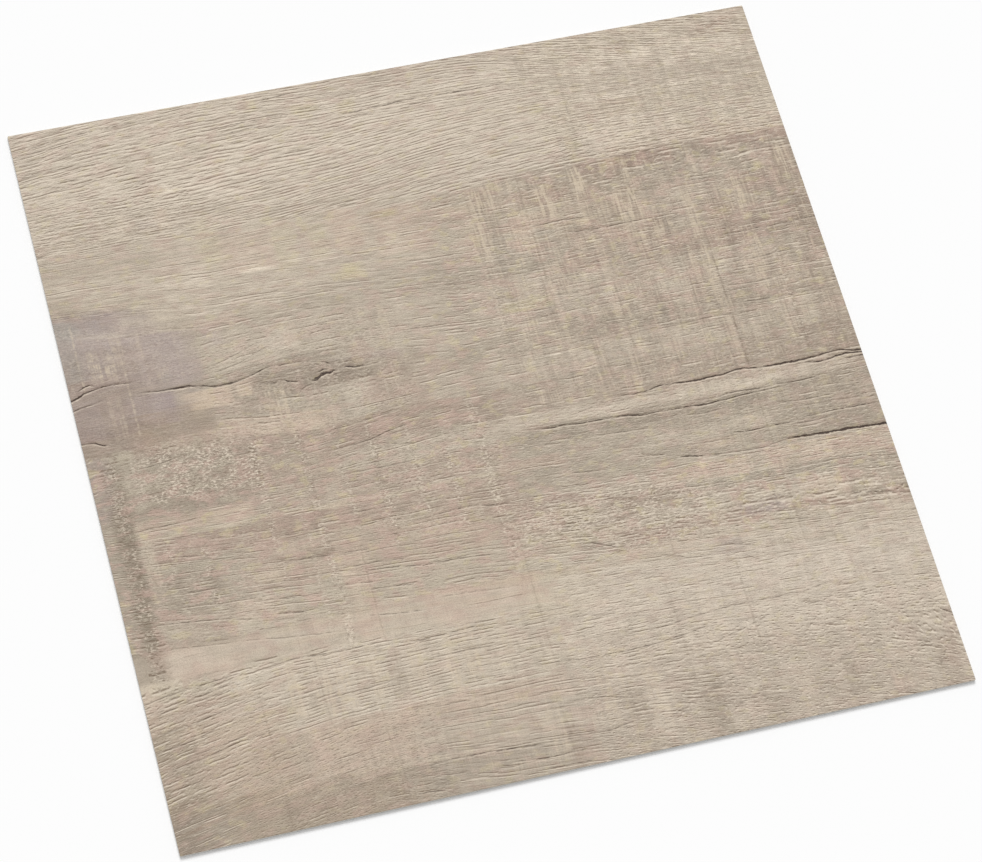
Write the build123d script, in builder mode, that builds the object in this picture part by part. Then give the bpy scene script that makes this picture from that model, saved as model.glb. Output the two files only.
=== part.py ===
from build123d import *
import os

# A square vinyl floor tile, punched from one flexible PVC sheet. Millimetres.
# The origin is at the centre of the underside, with the wear face up and the printed grain along X.

# Driving dimensions
tile_length = 305.0  # along the grain
tile_width = 305.0  # across the grain
tile_thickness = 1.2  # backing, print and wear layer, pressed into one sheet
corner_radius = 0.4  # left by the punch at each corner, seen from above
arris_radius = 0.15  # the wear face rolls over where the punch enters

with BuildPart() as vinyl_tile:
    # The punched square, from the underside up
    with BuildSketch(Plane.XY):
        RectangleRounded(tile_length, tile_width, corner_radius)
    extrude(amount=tile_thickness)

    # The arris round the wear face, while the edge of the underside stays crisp
    wear_face = vinyl_tile.faces().sort_by(Axis.Z)[-1]
    fillet(wear_face.edges(), radius=arris_radius)

vinyl_tile.part.label = "vinyl_tile"

os.makedirs("parts", exist_ok=True)
export_step(vinyl_tile.part, "parts/vinyl_tile.step")
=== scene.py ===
import math

import bpy
import numpy as np
from mathutils import Matrix, Vector


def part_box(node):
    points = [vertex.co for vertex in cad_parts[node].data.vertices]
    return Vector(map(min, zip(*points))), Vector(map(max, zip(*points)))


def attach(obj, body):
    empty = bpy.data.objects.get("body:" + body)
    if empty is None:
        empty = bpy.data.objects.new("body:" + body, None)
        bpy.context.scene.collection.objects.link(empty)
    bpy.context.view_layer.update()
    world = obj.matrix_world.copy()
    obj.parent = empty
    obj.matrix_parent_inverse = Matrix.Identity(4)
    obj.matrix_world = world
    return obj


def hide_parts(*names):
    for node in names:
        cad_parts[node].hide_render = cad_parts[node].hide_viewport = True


# A square vinyl floor tile with an embossed wear face over a print of rough-sawn, greyed oak.
# The print is laid out in millimetres: x runs along the grain from the tile's left edge, and y runs
# across the grain from the far edge towards the viewer. Grooves of the emboss follow the print.

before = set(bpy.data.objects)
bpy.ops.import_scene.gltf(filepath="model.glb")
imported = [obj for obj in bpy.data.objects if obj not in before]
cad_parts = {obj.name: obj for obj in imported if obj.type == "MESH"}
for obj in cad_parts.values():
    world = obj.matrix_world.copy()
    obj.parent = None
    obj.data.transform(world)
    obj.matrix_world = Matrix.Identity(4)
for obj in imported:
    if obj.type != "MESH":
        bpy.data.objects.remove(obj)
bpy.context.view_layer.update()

MM = 0.001
low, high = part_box("vinyl_tile")
LENGTH = (high[0] - low[0]) / MM
WIDTH = (high[1] - low[1]) / MM
THICKNESS = (high[2] - low[2]) / MM

# Edge of the tile, as punched
CORNER_RADIUS = 0.4
ARRIS_RADIUS = 0.15

# Wear face mesh: columns cross the grain, rows run with it
COLUMN_STEP = 2.65
FINE_COLUMN_STEP = 1.3
FINE_COLUMNS = (82.0, 106.0)
ROW_STEP = 0.42
ROW_EASE = 24.0
ROW_SHIFT = 12.0

# Inks of the print, as they look in daylight (sRGB, 0 to 255), and one painted highlight
SAND = (193, 179, 161)
PALE = (199, 186, 168)
BRIGHT = (209, 196, 179)
GREYED = (185, 172, 155)
DRAB = (174, 162, 145)
DUSK = (162, 150, 134)
BLUSH = (200, 179, 160)
PINK = (186, 166, 149)
ROSE = (173, 153, 138)
BROWN = (160, 143, 127)
UMBER = (144, 126, 112)
MAUVE = (181, 166, 158)
DEEP_MAUVE = (160, 145, 139)
GREEN_GREY = (172, 167, 155)
CREAM = (205, 188, 165)
OLIVE = (199, 187, 146)
SHADE = (140, 128, 112)
SILVER = (196, 184, 172)
SLATE = (160, 152, 150)
TAN = (176, 152, 122)
BAR_PALE = (206, 190, 167)
BAR_DARK = (134, 119, 102)
LINE_INK = (118, 100, 84)
CRACK_INK = (66, 53, 41)
# Pale ink of specks and patches; it also paints the highlight on the near lips of cracks
CHALK = (226, 212, 193)
# Not an ink but painted highlight: the near lips of grooves and lines are painted this pale where the key
# light would catch them
LIP_HIGHLIGHT = (242, 229, 210)
ROSY = (190, 164, 150)
GREENISH = (186, 177, 156)
OLIVE_SPOT = (200, 187, 149)

# Cut edge with the film on top, then the underside: darker and lighter tone, and the pitch of the hatch
EDGE_TONES = ((212, 209, 203), (226, 223, 217))
FILM = (190, 177, 160)
BACKING_TONES = ((148, 146, 142), (160, 157, 152))
HATCH_PITCH = 1.6

# What the face's own reflection adds under the studio light, and how bright a white would look
SHEEN = 0.028
LIGHT_GAIN = 1.02
SPECULAR = 0.35


def linear(colour):
    """Scene-linear RGB of an sRGB colour given as 0 to 255."""
    c = np.asarray(colour, float) / 255.0
    return np.where(c <= 0.04045, c / 12.92, ((c + 0.055) / 1.055) ** 2.4)


def ink(colour):
    """Base colour for an ink to look as given, once the satin face and the light add their part."""
    return np.clip((linear(colour) - SHEEN) / LIGHT_GAIN, 0.0, 1.0)


def ramp(start, end, value):
    """Smooth step from 0 at start to 1 at end; start may be the larger."""
    t = np.clip((value - start) / (end - start), 0.0, 1.0)
    return t * t * (3.0 - 2.0 * t)


def noise(x, y, seed):
    """Smooth noise from -1 to 1 with features about one unit across."""
    table = np.random.default_rng(seed).uniform(-1.0, 1.0, (256, 256))
    column, row = np.floor(x).astype(int), np.floor(y).astype(int)
    fx, fy = x - column, y - row
    fx, fy = fx * fx * (3 - 2 * fx), fy * fy * (3 - 2 * fy)
    near = table[column % 256, row % 256] * (1 - fx) + table[(column + 1) % 256, row % 256] * fx
    far = table[column % 256, (row + 1) % 256] * (1 - fx) + table[(column + 1) % 256, (row + 1) % 256] * fx
    return near * (1 - fy) + far * fy


# Grain direction as read: x, y and the slope there (positive comes towards the viewer as x grows)
GRAIN_SLOPES = [
    (8, 6, -0.13), (35, 5, -0.06), (10, 22, -0.11), (40, 20, -0.04), (70, 10, -0.04), (70, 28, -0.02),
    (10, 45, -0.01), (40, 48, 0.0), (10, 62, 0.02), (40, 62, 0.01), (85, 40, -0.08), (85, 24, -0.05),
    (110, 14, 0.0), (115, 6, 0.04), (105, 36, -0.01), (110, 52, -0.08), (90, 55, -0.07), (140, 8, 0.0),
    (140, 17, 0.0), (138, 38, -0.17), (140, 27, -0.10), (150, 45, -0.12), (140, 55, -0.09), (165, 16, 0.0),
    (165, 30, -0.08), (165, 52, -0.10), (185, 27, 0.0), (190, 42, -0.06), (190, 52, -0.06), (208, 56, -0.04),
    (200, 5, 0.12), (225, 8, 0.20), (250, 5, 0.22), (265, 8, 0.20), (290, 5, 0.20), (240, 18, 0.12),
    (290, 15, 0.10), (240, 28, 0.07), (290, 28, 0.06), (250, 40, 0.03), (290, 45, 0.03), (250, 56, 0.02),
    (20, 72, 0.03), (70, 75, 0.02), (120, 72, 0.04), (160, 72, 0.03), (220, 75, 0.0), (280, 75, 0.01),
    (20, 88, 0.08), (35, 95, 0.12), (60, 100, 0.04), (110, 99, 0.08), (140, 104, 0.10), (135, 117, 0.10),
    (25, 110, 0.0), (5, 117, -0.14), (65, 113, -0.17), (85, 106, -0.08), (40, 122, 0.03), (65, 122, -0.10),
    (80, 119, -0.08), (95, 119, 0.0), (108, 121, 0.10), (82, 137, 0.12), (110, 137, -0.08), (160, 108, 0.06),
    (200, 110, 0.0), (250, 110, 0.0), (290, 103, 0.02), (180, 130, 0.0), (230, 128, 0.02), (290, 130, 0.01),
    (25, 138, 0.03), (65, 146, 0.14), (28, 152, -0.08), (105, 151, -0.09), (112, 157, -0.16), (135, 158, 0.0),
    (180, 152, 0.0), (100, 168, -0.02), (40, 168, 0.02), (60, 183, 0.03), (30, 192, 0.09), (60, 208, 0.07),
    (60, 218, 0.09), (30, 217, 0.09), (60, 230, 0.07), (25, 227, 0.08), (110, 212, 0.05), (130, 214, 0.05),
    (110, 228, 0.05), (110, 193, 0.0), (140, 195, 0.03), (165, 167, 0.08), (190, 169, 0.06), (215, 171, 0.04),
    (240, 172, -0.02), (260, 171, -0.04), (290, 170, -0.04), (210, 161, -0.04), (240, 160, 0.0),
    (290, 161, 0.02), (225, 193, 0.10), (250, 195, 0.0), (285, 194, 0.03), (195, 177, 0.04), (210, 184, 0.04),
    (270, 186, 0.0), (180, 190, 0.05), (190, 205, 0.03), (240, 205, 0.02), (290, 208, 0.06), (185, 222, 0.10),
    (270, 222, 0.08), (215, 232, 0.08), (180, 242, 0.04), (240, 245, 0.06), (290, 240, 0.06), (180, 262, 0.0),
    (165, 275, 0.05), (200, 276, 0.12), (240, 270, 0.14), (290, 262, 0.12), (200, 295, 0.15),
    (250, 294, 0.15), (296, 290, 0.35), (8, 246, -0.16), (35, 241, -0.12), (60, 240, -0.03), (100, 243, 0.0),
    (140, 244, 0.02), (10, 262, -0.20), (35, 256, -0.12), (60, 260, -0.06), (100, 258, -0.03),
    (140, 262, 0.03), (10, 285, -0.22), (35, 276, -0.18), (60, 286, -0.15), (40, 296, -0.15),
    (85, 280, -0.08), (110, 270, 0.02), (130, 280, 0.04), (110, 293, 0.10), (140, 298, 0.08),
    (150, 285, 0.08), (60, 160, 0.03), (270, 150, 0.0), (220, 145, 0.0), (150, 235, 0.04),
]
SLOPE_REACH = (16.0, 7.0)
FLOW_START = 152.5
FLOW_SPARE = 45.0


def grain_slope(x, y):
    """Slope of the grain at points of the print."""
    total, weight = np.zeros_like(y), np.full_like(y, 1e-6)
    for px, py, slope in GRAIN_SLOPES:
        w = np.exp(-(((x - px) / SLOPE_REACH[0]) ** 2) / 2 - (((y - py) / SLOPE_REACH[1]) ** 2) / 2)
        total += w * slope
        weight += w
    return total / weight


def grain_lines(columns, starts):
    """y of each grain line at each column, for lines that cross FLOW_START at the given starts."""
    order = np.argsort(np.abs(columns - FLOW_START))
    lines = np.zeros((len(columns), len(starts)))
    lines[order[0]] = starts + (columns[order[0]] - FLOW_START) * grain_slope(columns[order[0]], starts)
    for step in (1, -1):
        at = order[0]
        while 0 <= at + step < len(columns):
            run = columns[at + step] - columns[at]
            middle = lines[at] + run / 2 * grain_slope(columns[at], lines[at])
            lines[at + step] = lines[at] + run * grain_slope(columns[at] + run / 2, middle)
            at += step
    return lines


def crowded(total, step, fine_step, fine_span):
    """Positions from 0 to total, closer together inside fine_span."""
    along = np.arange(0.0, total + 0.1, 0.1)
    inside = ramp(fine_span[0] - 6, fine_span[0], along) * ramp(fine_span[1] + 6, fine_span[1], along)
    count = np.cumsum(0.1 / (step + (fine_step - step) * inside))
    count -= count[0]
    return np.interp(np.linspace(0, count[-1], int(round(count[-1])) + 1), count, along)


def lay_out_face():
    """x, y and grain coordinate of the wear face's vertices; its rows follow the grain."""
    inner = LENGTH - 2 * ARRIS_RADIUS
    columns = ARRIS_RADIUS + crowded(inner, COLUMN_STEP, FINE_COLUMN_STEP, FINE_COLUMNS)
    columns = np.concatenate([[ARRIS_RADIUS, CORNER_RADIUS], columns[1:-1],
                              [LENGTH - CORNER_RADIUS, LENGTH - ARRIS_RADIUS]])
    rows = np.linspace(CORNER_RADIUS, WIDTH - CORNER_RADIUS, int(WIDTH / ROW_STEP))
    rows = np.concatenate([[ARRIS_RADIUS], rows, [WIDTH - ARRIS_RADIUS]])
    starts = np.arange(-FLOW_SPARE, WIDTH + FLOW_SPARE, 1.0)
    lines = grain_lines(columns, starts)
    ease = ramp(0, ROW_EASE, rows) * ramp(0, ROW_EASE, WIDTH - rows)
    x = np.repeat(columns[:, None], len(rows), 1)
    y, v = np.zeros_like(x), np.zeros_like(x)
    for i in range(len(columns)):
        shift = np.interp(rows, starts, lines[i]) - rows
        y[i] = rows + ease * ROW_SHIFT * np.tanh(shift / ROW_SHIFT)
        v[i] = np.interp(y[i], lines[i], starts)
    return x, y, v


def region(x, y, left, right, far, near, soft_x, soft_y):
    """Weight of a patch; far and near are the y of its long edges, each a pair where its ends differ."""
    along = np.clip((x - left) / (right - left), 0, 1)
    far, near = (edge if isinstance(edge, tuple) else (edge, edge) for edge in (far, near))
    far_y = far[0] + (far[1] - far[0]) * along
    near_y = near[0] + (near[1] - near[0]) * along
    across = ramp(far_y - soft_y, far_y + soft_y, y) * ramp(near_y + soft_y, near_y - soft_y, y)
    return across * ramp(left - soft_x, left + soft_x, x) * ramp(right + soft_x, right - soft_x, x)


# Tone of the print: ink, strength, left, right, far edge, near edge, softness along and across the grain.
# A long edge that slopes is given at its left and at its right end.
TINTS = [
    # Broad tones
    (DRAB, 0.34, -9, 320, 57, (228, 226), 10, 5), (DUSK, 0.45, -9, 118, 98, (158, 160), 12, 6),
    (DRAB, 0.35, -9, 60, 240, 320, 20, 8), (BRIGHT, 0.60, -9, 320, -9, (46, 48), 10, 6),
    (BRIGHT, 0.70, 150, 320, -9, (56, 52), 30, 4),
    # Far strip
    (PALE, 0.7, -9, 112, (14, 12), 46, 14, 6), (BRIGHT, 0.35, 60, 108, (30, 32), 46, 8, 4),
    (PALE, 0.6, 150, 206, (16, 18), (46, 42), 10, 5), (GREYED, 0.25, 98, 160, -9, (13, 12), 8, 3),
    (GREYED, 0.30, 118, 165, (34, 36), 58, 8, 4), (GREYED, 0.25, -9, 42, 37, 46, 8, 2),
    (DRAB, 0.45, 14, 26, 46, 54, 1, 1.5), (DRAB, 0.65, 39.5, 48, 43, 54, 0.8, 1.5),
    (MAUVE, 0.6, 42, 47, 48, 53, 1, 1), (DRAB, 0.60, 56, 82, (45, 46), 51, 4, 1.2),
    (DRAB, 0.50, 90, 110, (50, 51), 57, 4, 1.2), (GREYED, 0.50, 100, 122, 37, 42, 3, 1.5),
    (GREYED, 0.25, 150, 218, (40, 41), 58, 8, 4), (OLIVE, 0.12, 205, 320, -9, 46, 10, 6),
    (OLIVE, 0.45, 112, 122, (9, 10), 14, 1.5, 1.2), (OLIVE, 0.40, 130, 136, 13, 17, 1.5, 1.2),
    (OLIVE, 0.80, 206.5, 211, 29, 33, 1, 1), (OLIVE, 0.45, 216, 220, 46, 57, 0.8, 1.5),
    (OLIVE, 0.45, 184, 189, 45, 48, 1.5, 0.8), (OLIVE, 0.45, 244, 252, (9, 10), (13, 14), 1.5, 0.8),
    (OLIVE, 0.40, 94, 99, 4, 8, 1.2, 0.8), (ROSE, 0.25, 243, 252, (7, 8), 18, 2, 2),
    (ROSE, 0.30, 281, 296, (2, 3), 12, 3, 2), (BLUSH, 0.35, 224, 250, 28, 46, 6, 4),
    (BLUSH, 0.60, 230, 252, (48, 47), 59, 3, 2), (BLUSH, 0.45, 252, 302, 50, (58, 57), 4, 2),
    (DRAB, 0.40, 218, 226, 50, 54, 2, 1),
    # Smooth strip below it, turning pink to the right
    (GREYED, 0.40, -9, 64, 56, 72, 8, 2), (PALE, 0.45, 8, 62, (72, 73), (80, 82), 4, 2),
    (BLUSH, 0.55, 69, 91, 62, 75, 3, 2), (BLUSH, 0.65, 114, 127, (58, 60), 76, 1.5, 2),
    (BLUSH, 0.50, 130, 154, 60, 84, 3, 2.5), (OLIVE, 0.25, 62, 70, 52, 73, 2, 3),
    (OLIVE, 0.20, 91, 99, (58, 60), (83, 82), 1.5, 3), (OLIVE, 0.20, 104, 112, 62, 80, 2, 3),
    (OLIVE, 0.45, 132, 142, 62, 66, 2, 1), (CREAM, 0.45, 74, 90, (75, 75.5), 79, 2, 0.8),
    (OLIVE, 0.45, 114, 121, 84, 90, 1.5, 1.5), (DRAB, 0.65, 92, 160, (89, 90), (98, 99), 8, 2),
    (DRAB, 0.35, 45, 66, 91, 94, 3, 1),
    # Mauve block at the left
    (DEEP_MAUVE, 0.62, -9, 22, (80, 85), (91, 93), 4, 1.6),
    (DEEP_MAUVE, 0.46, 14, 37, (83, 86), (91, 97), 5, 1.8), (PALE, 0.35, 24, 36, (88, 90), (93, 94), 2, 1),
    (MAUVE, 0.70, -9, 49, (92, 99), 119, 5, 2), (DEEP_MAUVE, 0.55, -9, 24, (106, 109), 119, 3, 2),
    (DEEP_MAUVE, 0.28, 22, 48, 112, (120, 121), 6, 2), (GREEN_GREY, 0.95, -9, 7, 87, 112, 1.2, 3),
    (GREEN_GREY, 0.45, 34, 39, 113, 118, 1, 1.5), (MAUVE, 0.50, 55, 62, 99, 106, 1.5, 1.5),
    (DEEP_MAUVE, 0.95, -9, 39.5, (119, 122), (139, 136), 1, 1), (BROWN, 0.60, 10.5, 21, 119, 141, 1, 2),
    (DUSK, 0.85, 22, 52, (135.5, 137), (142, 143), 2, 1), (DUSK, 0.50, -9, 24, 138, 146, 3, 1.5),
    # Round the knot
    (PALE, 0.30, 53, 90, (102, 101), (119, 117), 1.5, 2), (BRIGHT, 0.30, 76, 88, 108, (116, 115), 2, 1.5),
    (BLUSH, 0.55, 43, 60, (124.5, 125), (133, 133.5), 1, 1), (BLUSH, 0.50, 62, 69, 124, (131, 131.5), 1, 1),
    (GREYED, 0.55, 92, 160, 100, 134, 8, 3), (BRIGHT, 0.30, 83, 91, 103, 113, 1, 1.5),
    (PALE, 0.40, 130, 137, 103, 113, 1.5, 2), (DUSK, 0.75, 70, 115, (121, 122), 132, 5, 2.5),
    (DUSK, 0.55, 86, 104, (118, 119), 135, 4, 3), (MAUVE, 0.55, 100, 113, (121.5, 122.5), 127, 1.5, 1.2),
    (MAUVE, 0.40, 115, 130, (121.5, 122.5), (126, 127), 2, 1.2),
    (BRIGHT, 0.60, 94.5, 98.5, 129, 131, 0.7, 0.5), (GREYED, 0.60, 130, 172, 108, 152, 6, 4),
    (ROSE, 0.35, 50, 76, (132, 134), (137, 140), 3, 1), (PINK, 0.60, 20, 97, (141, 143), (147, 153), 4, 1.5),
    (CREAM, 0.40, 82.5, 91.5, 141, 151, 1, 1.5), (PALE, 0.55, 103, 111, 132, 147, 2, 2),
    (GREYED, 0.50, 96, 112, 132, 152, 3, 2), (BLUSH, 0.45, 50, 90, (138, 144), (144, 152), 4, 2),
    (ROSE, 0.75, 44, 84, (147, 151), (154, 157), 3, 1), (ROSE, 0.45, 113, 135, 133, 151, 4, 4),
    (ROSE, 0.70, 94, 158, (148, 149), (161, 160), 3, 1.5),
    # Sawn block at the right: dark upper border, pale and pink combs
    (GREYED, 0.60, 156, 320, (62, 60), 97, 8, 2), (DRAB, 0.75, 216.5, 320, (59, 58), 76, 0.8, 1.2),
    (ROSE, 0.85, 216.5, 258, 58.5, (64, 65), 0.8, 0.8), (DUSK, 0.60, 217, 228, 59, 67, 0.8, 1),
    (DUSK, 0.55, 229, 235, 62, 65.5, 1, 0.7), (OLIVE, 0.85, 228, 235, 59, 62, 1, 0.7),
    (DUSK, 0.65, 258, 271, 58, (64, 65), 0.8, 0.8), (BLUSH, 0.60, 271.5, 281, 57, 63, 0.8, 0.8),
    (ROSE, 0.85, 281, 320, (57.5, 57), 63, 0.8, 0.8), (DRAB, 0.65, 190, 217, (60.5, 60), 66, 1, 0.8),
    (ROSE, 0.65, 191, 212, 65, 73, 1, 1), (PALE, 0.50, 182.5, 191.5, 57, 65, 0.8, 1),
    (CREAM, 0.45, 156, 171, 66, (71, 72), 2, 0.8), (ROSE, 0.45, 150, 171, (71, 71.5), 73.5, 2, 0.6),
    (BLUSH, 0.65, 184, 192, 75, 93, 1, 1.5), (BLUSH, 0.50, 192, 201, 76, 84, 1, 1.2),
    (CREAM, 0.75, 198, 217.5, (82.8, 82.5), 86, 1.5, 0.5), (BROWN, 0.60, 202, 222, 86.5, 89.3, 2, 0.6),
    (BLUSH, 0.55, 206, 238, (89, 88.5), (96, 95.5), 2, 0.8), (DRAB, 0.55, 218, 230, 64, 80, 1, 1.5),
    (BROWN, 0.55, 238, 246, 86, 98, 0.8, 1), (BLUSH, 0.40, 260, 275, 86, 96, 2, 1.5),
    (ROSE, 0.60, 280, 296, 76, 85, 1, 1.5), (BLUSH, 0.55, 294, 304, 66, 80, 0.8, 1.2),
    (OLIVE, 0.75, 287.5, 291, 72, 76, 0.8, 1), (OLIVE, 0.60, 265, 272, 90, 93, 1, 0.8),
    (OLIVE, 0.60, 262, 268, 105.5, 108.5, 1, 0.8), (OLIVE, 0.55, 181, 188, 106, 110, 1, 0.8),
    (DRAB, 0.80, 146, 206, 93, (103, 102), 4, 1.5), (ROSE, 0.75, 199, 216, (98, 97), 106, 1.5, 1),
    (ROSE, 0.65, 232, 250, (94, 95), (107, 106), 1.5, 1), (ROSE, 0.80, 246, 320, (97, 95), 105, 2, 1),
    (DUSK, 0.60, 279, 320, 99, 104, 2, 0.8), (DUSK, 0.55, 294.5, 320, 86, 118, 0.8, 3),
    (BLUSH, 0.45, 230, 237, 99, 113, 1, 1.2), (PALE, 0.55, 172, 192, 102, 110, 2, 1.5),
    (ROSE, 0.55, 184, 201, (108.5, 108), (112.5, 112), 1.5, 0.7),
    (ROSE, 0.80, 214.5, 232, (107.5, 108), 114, 0.8, 0.8), (OLIVE, 0.75, 172, 192, 113, 118, 1, 0.8),
    (GREYED, 0.50, 145, 320, (103, 104), 128, 6, 2), (PALE, 0.70, 192, 218, 113, 124.5, 0.8, 1),
    (PALE, 0.75, 233, 247, 111.5, 123.5, 0.8, 1), (PALE, 0.65, 260, 284.5, 110.5, 118.5, 0.8, 1),
    (PALE, 0.45, 260, 276, 119.5, 126, 0.8, 1), (ROSE, 0.45, 247, 254, 107, 128, 0.8, 1.5),
    (ROSE, 0.60, 227, 237, 122.5, 128.5, 1, 0.8), (DRAB, 0.75, 146, 320, (125, 126), 136, 5, 1.5),
    (DUSK, 0.35, 200, 320, 127, 134, 5, 1.2), (GREYED, 0.70, 146, 250, 136, 160, 5, 2),
    (DRAB, 0.48, 245, 320, 134, 160, 2, 2), (DRAB, 0.45, 150, 232, 147, 152, 5, 1),
    (BROWN, 0.35, 294, 320, 62, 200, 1.2, 5),
    # Speckled and torn grain at the left, and the pink wood beside it
    (DRAB, 0.60, 8, 62, (146, 148), 174, 6, 2.5), (DUSK, 0.35, 8, 52, 164, 175, 3, 1.5),
    (GREYED, 0.55, 58, 158, (154, 160), (226, 224), 4, 3), (ROSE, 0.45, 48, 62, 156, (176, 175), 5, 2.5),
    (ROSE, 0.45, 60, 100, 156, 172, 3, 2), (PALE, 0.55, 92, 158, 162, (170, 170.5), 1.5, 1),
    (ROSE, 0.50, 92, 160, 171, (181, 181.5), 3, 1), (ROSE, 0.35, 58, 84, 173, 181, 3, 1),
    (BLUSH, 0.60, 11.5, 58, (174, 174.5), (180, 181), 0.8, 0.8),
    (CREAM, 0.35, 36, 57.5, (175.5, 176), (179.5, 180), 1.5, 0.7),
    (CREAM, 0.45, 11.5, 20, 179.5, 184.5, 0.8, 0.6), (ROSE, 0.80, 18, 104, (182.5, 182.8), 193, 2, 0.8),
    (CREAM, 0.50, 18, 180, (180.9, 182.3), (182.7, 183.9), 3, 0.5), (BROWN, 0.45, 40, 62, 183.5, 187, 2, 0.7),
    (ROSE, 0.55, 100, 160, 184, 193, 4, 1), (DRAB, 0.80, 18, 50, 193, 216, 1, 1.2),
    (DUSK, 0.45, 19, 38, 198, 212, 1.5, 2), (ROSE, 0.55, 48, 160, 193, (212, 210), 3, 1.5),
    (UMBER, 0.35, 73, 84, (198, 198.5), 203, 1.5, 0.7), (PINK, 0.60, 108, 140, (195, 196), 214, 4, 2),
    (CREAM, 0.40, 52, 61, 203, 208.5, 1.5, 0.8), (GREYED, 0.60, 60, 84, 213, 226, 2, 1.5),
    (SAND, 0.50, 20, 60, 214, 232, 3, 2), (BLUSH, 0.40, 42, 58, 214, 222, 2, 1),
    (GREYED, 0.55, 94, 160, 212, 226, 3, 1.5), (BLUSH, 0.55, 84, 93, 203, 242, 1.2, 4),
    (BLUSH, 0.25, 84, 92, 152, 203, 1, 3), (DUSK, 0.80, -9, 11.5, 146, 237, 0.7, 3),
    (DEEP_MAUVE, 0.45, -9, 8, 144, 170, 1.5, 2), (SHADE, 0.50, 5.5, 11.4, 164, 236, 0.8, 4),
    (DUSK, 0.45, 9, 26, 196, 214, 2, 2),
    # Between the cracks, and below them
    (PALE, 0.75, 154, 200, (160.5, 161), (167, 167.5), 2, 0.8),
    (PALE, 0.75, 198, 300, (162.3, 162.8), 168, 2, 0.6),
    (DRAB, 0.90, 158, 320, (168.8, 170.8), (193, 193.5), 5, 0.8), (DUSK, 0.60, 262, 320, 168, 194, 5, 1),
    (DUSK, 0.70, 168, 262, (169, 171.6), (173, 177), 6, 1), (SAND, 0.55, 244, 262, (181, 182), 186, 2, 1),
    (GREYED, 0.60, 214, 244, (181, 182), 187, 3, 1), (PINK, 0.60, 152, 178, 180, (185, 184.5), 2, 0.7),
    (BLUSH, 0.45, 232, 246, (187.5, 188), 192, 1.5, 0.8),
    (GREYED, 0.60, 160, 320, (193, 194), (226, 224), 4, 1.5),
    (ROSE, 0.60, 146, 178, (195, 196), (204, 206), 3, 1),
    (ROSE, 0.70, 166, 192, (196, 202), (199.5, 205.5), 2, 0.8),
    (BLUSH, 0.60, 150, 169, (203, 203.5), 213, 2, 1),
    (OLIVE, 0.25, 169, 184, (202, 203.5), (209, 209.5), 2, 1),
    (BROWN, 0.65, 188, 199, (203, 204), 214, 1.5, 1.2),
    (BROWN, 0.50, 196, 218, (203, 204.5), (209, 210), 2, 0.8), (OLIVE, 0.20, 164, 192, (211, 213), 219, 2, 1),
    (BLUSH, 0.60, 208, 248, (195.5, 196), 203, 2, 0.8),
    (BLUSH, 0.55, 254, 320, (195.8, 196.2), (205, 205.5), 3, 0.8),
    (DUSK, 0.60, 218, 320, (204, 205.5), (207.5, 209), 4, 0.7),
    (BLUSH, 0.55, 264, 283, (210, 211), (226, 227), 1.5, 1.5), (DRAB, 0.60, 283, 320, 207, 216, 2, 1.2),
    (ROSE, 0.80, 187, 217.5, 217, 224, 1.5, 0.8), (CREAM, 0.30, 148, 176, (213, 214), 222, 3, 1.2),
    (DUSK, 0.75, 174, 190, (216, 221), (221, 225), 1.5, 0.8), (ROSE, 0.65, 222, 246, 216.5, 223.5, 2, 0.8),
    (DEEP_MAUVE, 0.60, 238, 256, (216, 216.5), (221, 221.5), 2, 0.8),
    (ROSE, 0.60, 256, 284, (217.5, 222.5), (221, 227), 2, 0.7),
    (DUSK, 0.65, 277, 320, (219, 223.5), (222.5, 228), 2, 0.8), (BLUSH, 0.55, 187, 218, 224.5, 231, 1.5, 1),
    # Near half: pale, with faint bars across the grain
    (CREAM, 0.25, -9, 162, 227, 241, 5, 3), (BLUSH, 0.50, 112, 156, 225, 240, 3, 1.5),
    (BLUSH, 0.25, 11, 42, (228, 229), 237, 2, 1.2), (OLIVE, 0.15, -9, 180, (238, 240), 266, 8, 3),
    (PALE, 0.55, 26, 180, 240, 268, 8, 3), (BRIGHT, 0.65, 33, 40, 242, 251, 0.8, 1.2),
    (BRIGHT, 0.65, 70.5, 77, 240, 263, 0.8, 2), (DRAB, 0.45, 90, 97, 246, 263, 1, 2),
    (PINK, 0.50, -9, 26, 246, 284, 6, 4), (DUSK, 0.50, -9, 22, 256, 286, 8, 5),
    (PINK, 0.60, 17, 46, 252, 285, 5, 3), (BLUSH, 0.55, 54, 158, 266, (276, 275), 4, 1.5),
    (BLUSH, 0.60, 58, 96, 272, (286, 285), 2, 2), (PINK, 0.40, 42, 96, 276, (292, 291), 4, 2),
    (GREYED, 0.55, 94, 158, (276, 277), 292, 3, 2), (BROWN, 0.75, -9, 36, (283, 288), 320, 6, 4),
    (UMBER, 0.60, -9, 9, (281, 286), 320, 3, 4), (DRAB, 0.55, 14, 31, 295, 320, 2, 1.5),
    (PINK, 0.70, 31, 60, (285, 286), 300, 2, 1.5), (UMBER, 0.55, 38, 62, (296.5, 295.5), 320, 4, 2),
    (BROWN, 0.50, 57, 68, (288, 289), 320, 1.5, 1), (UMBER, 0.60, 66, 92, (293.5, 291.5), 320, 3, 2),
    (DRAB, 0.65, 88, 160, (291.5, 292), 320, 0.8, 1.5), (ROSE, 0.50, 148, 160, 287, 320, 1.5, 2),
    (PALE, 0.80, 160, 320, (228, 230), 268, 8, 3), (OLIVE, 0.12, 146, 178, (224, 226), (246, 244), 4, 3),
    (BRIGHT, 0.60, 212, 306, (241, 239), 254, 8, 2.5), (BRIGHT, 0.35, 210.5, 219.5, 236, 304, 1.5, 5),
    (PALE, 0.40, 264, 320, (225.5, 226.5), (232, 233), 3, 1),
    (DEEP_MAUVE, 0.30, 223, 236, (227.5, 229), (235, 237), 2, 1),
    (DRAB, 0.50, 194, 211, (227.5, 229.5), (230.5, 233), 2, 0.8),
    (GREYED, 0.55, 156, 320, (270, 272), 320, 8, 4), (DRAB, 0.45, 173, 181, 281, 320, 1.2, 3),
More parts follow.
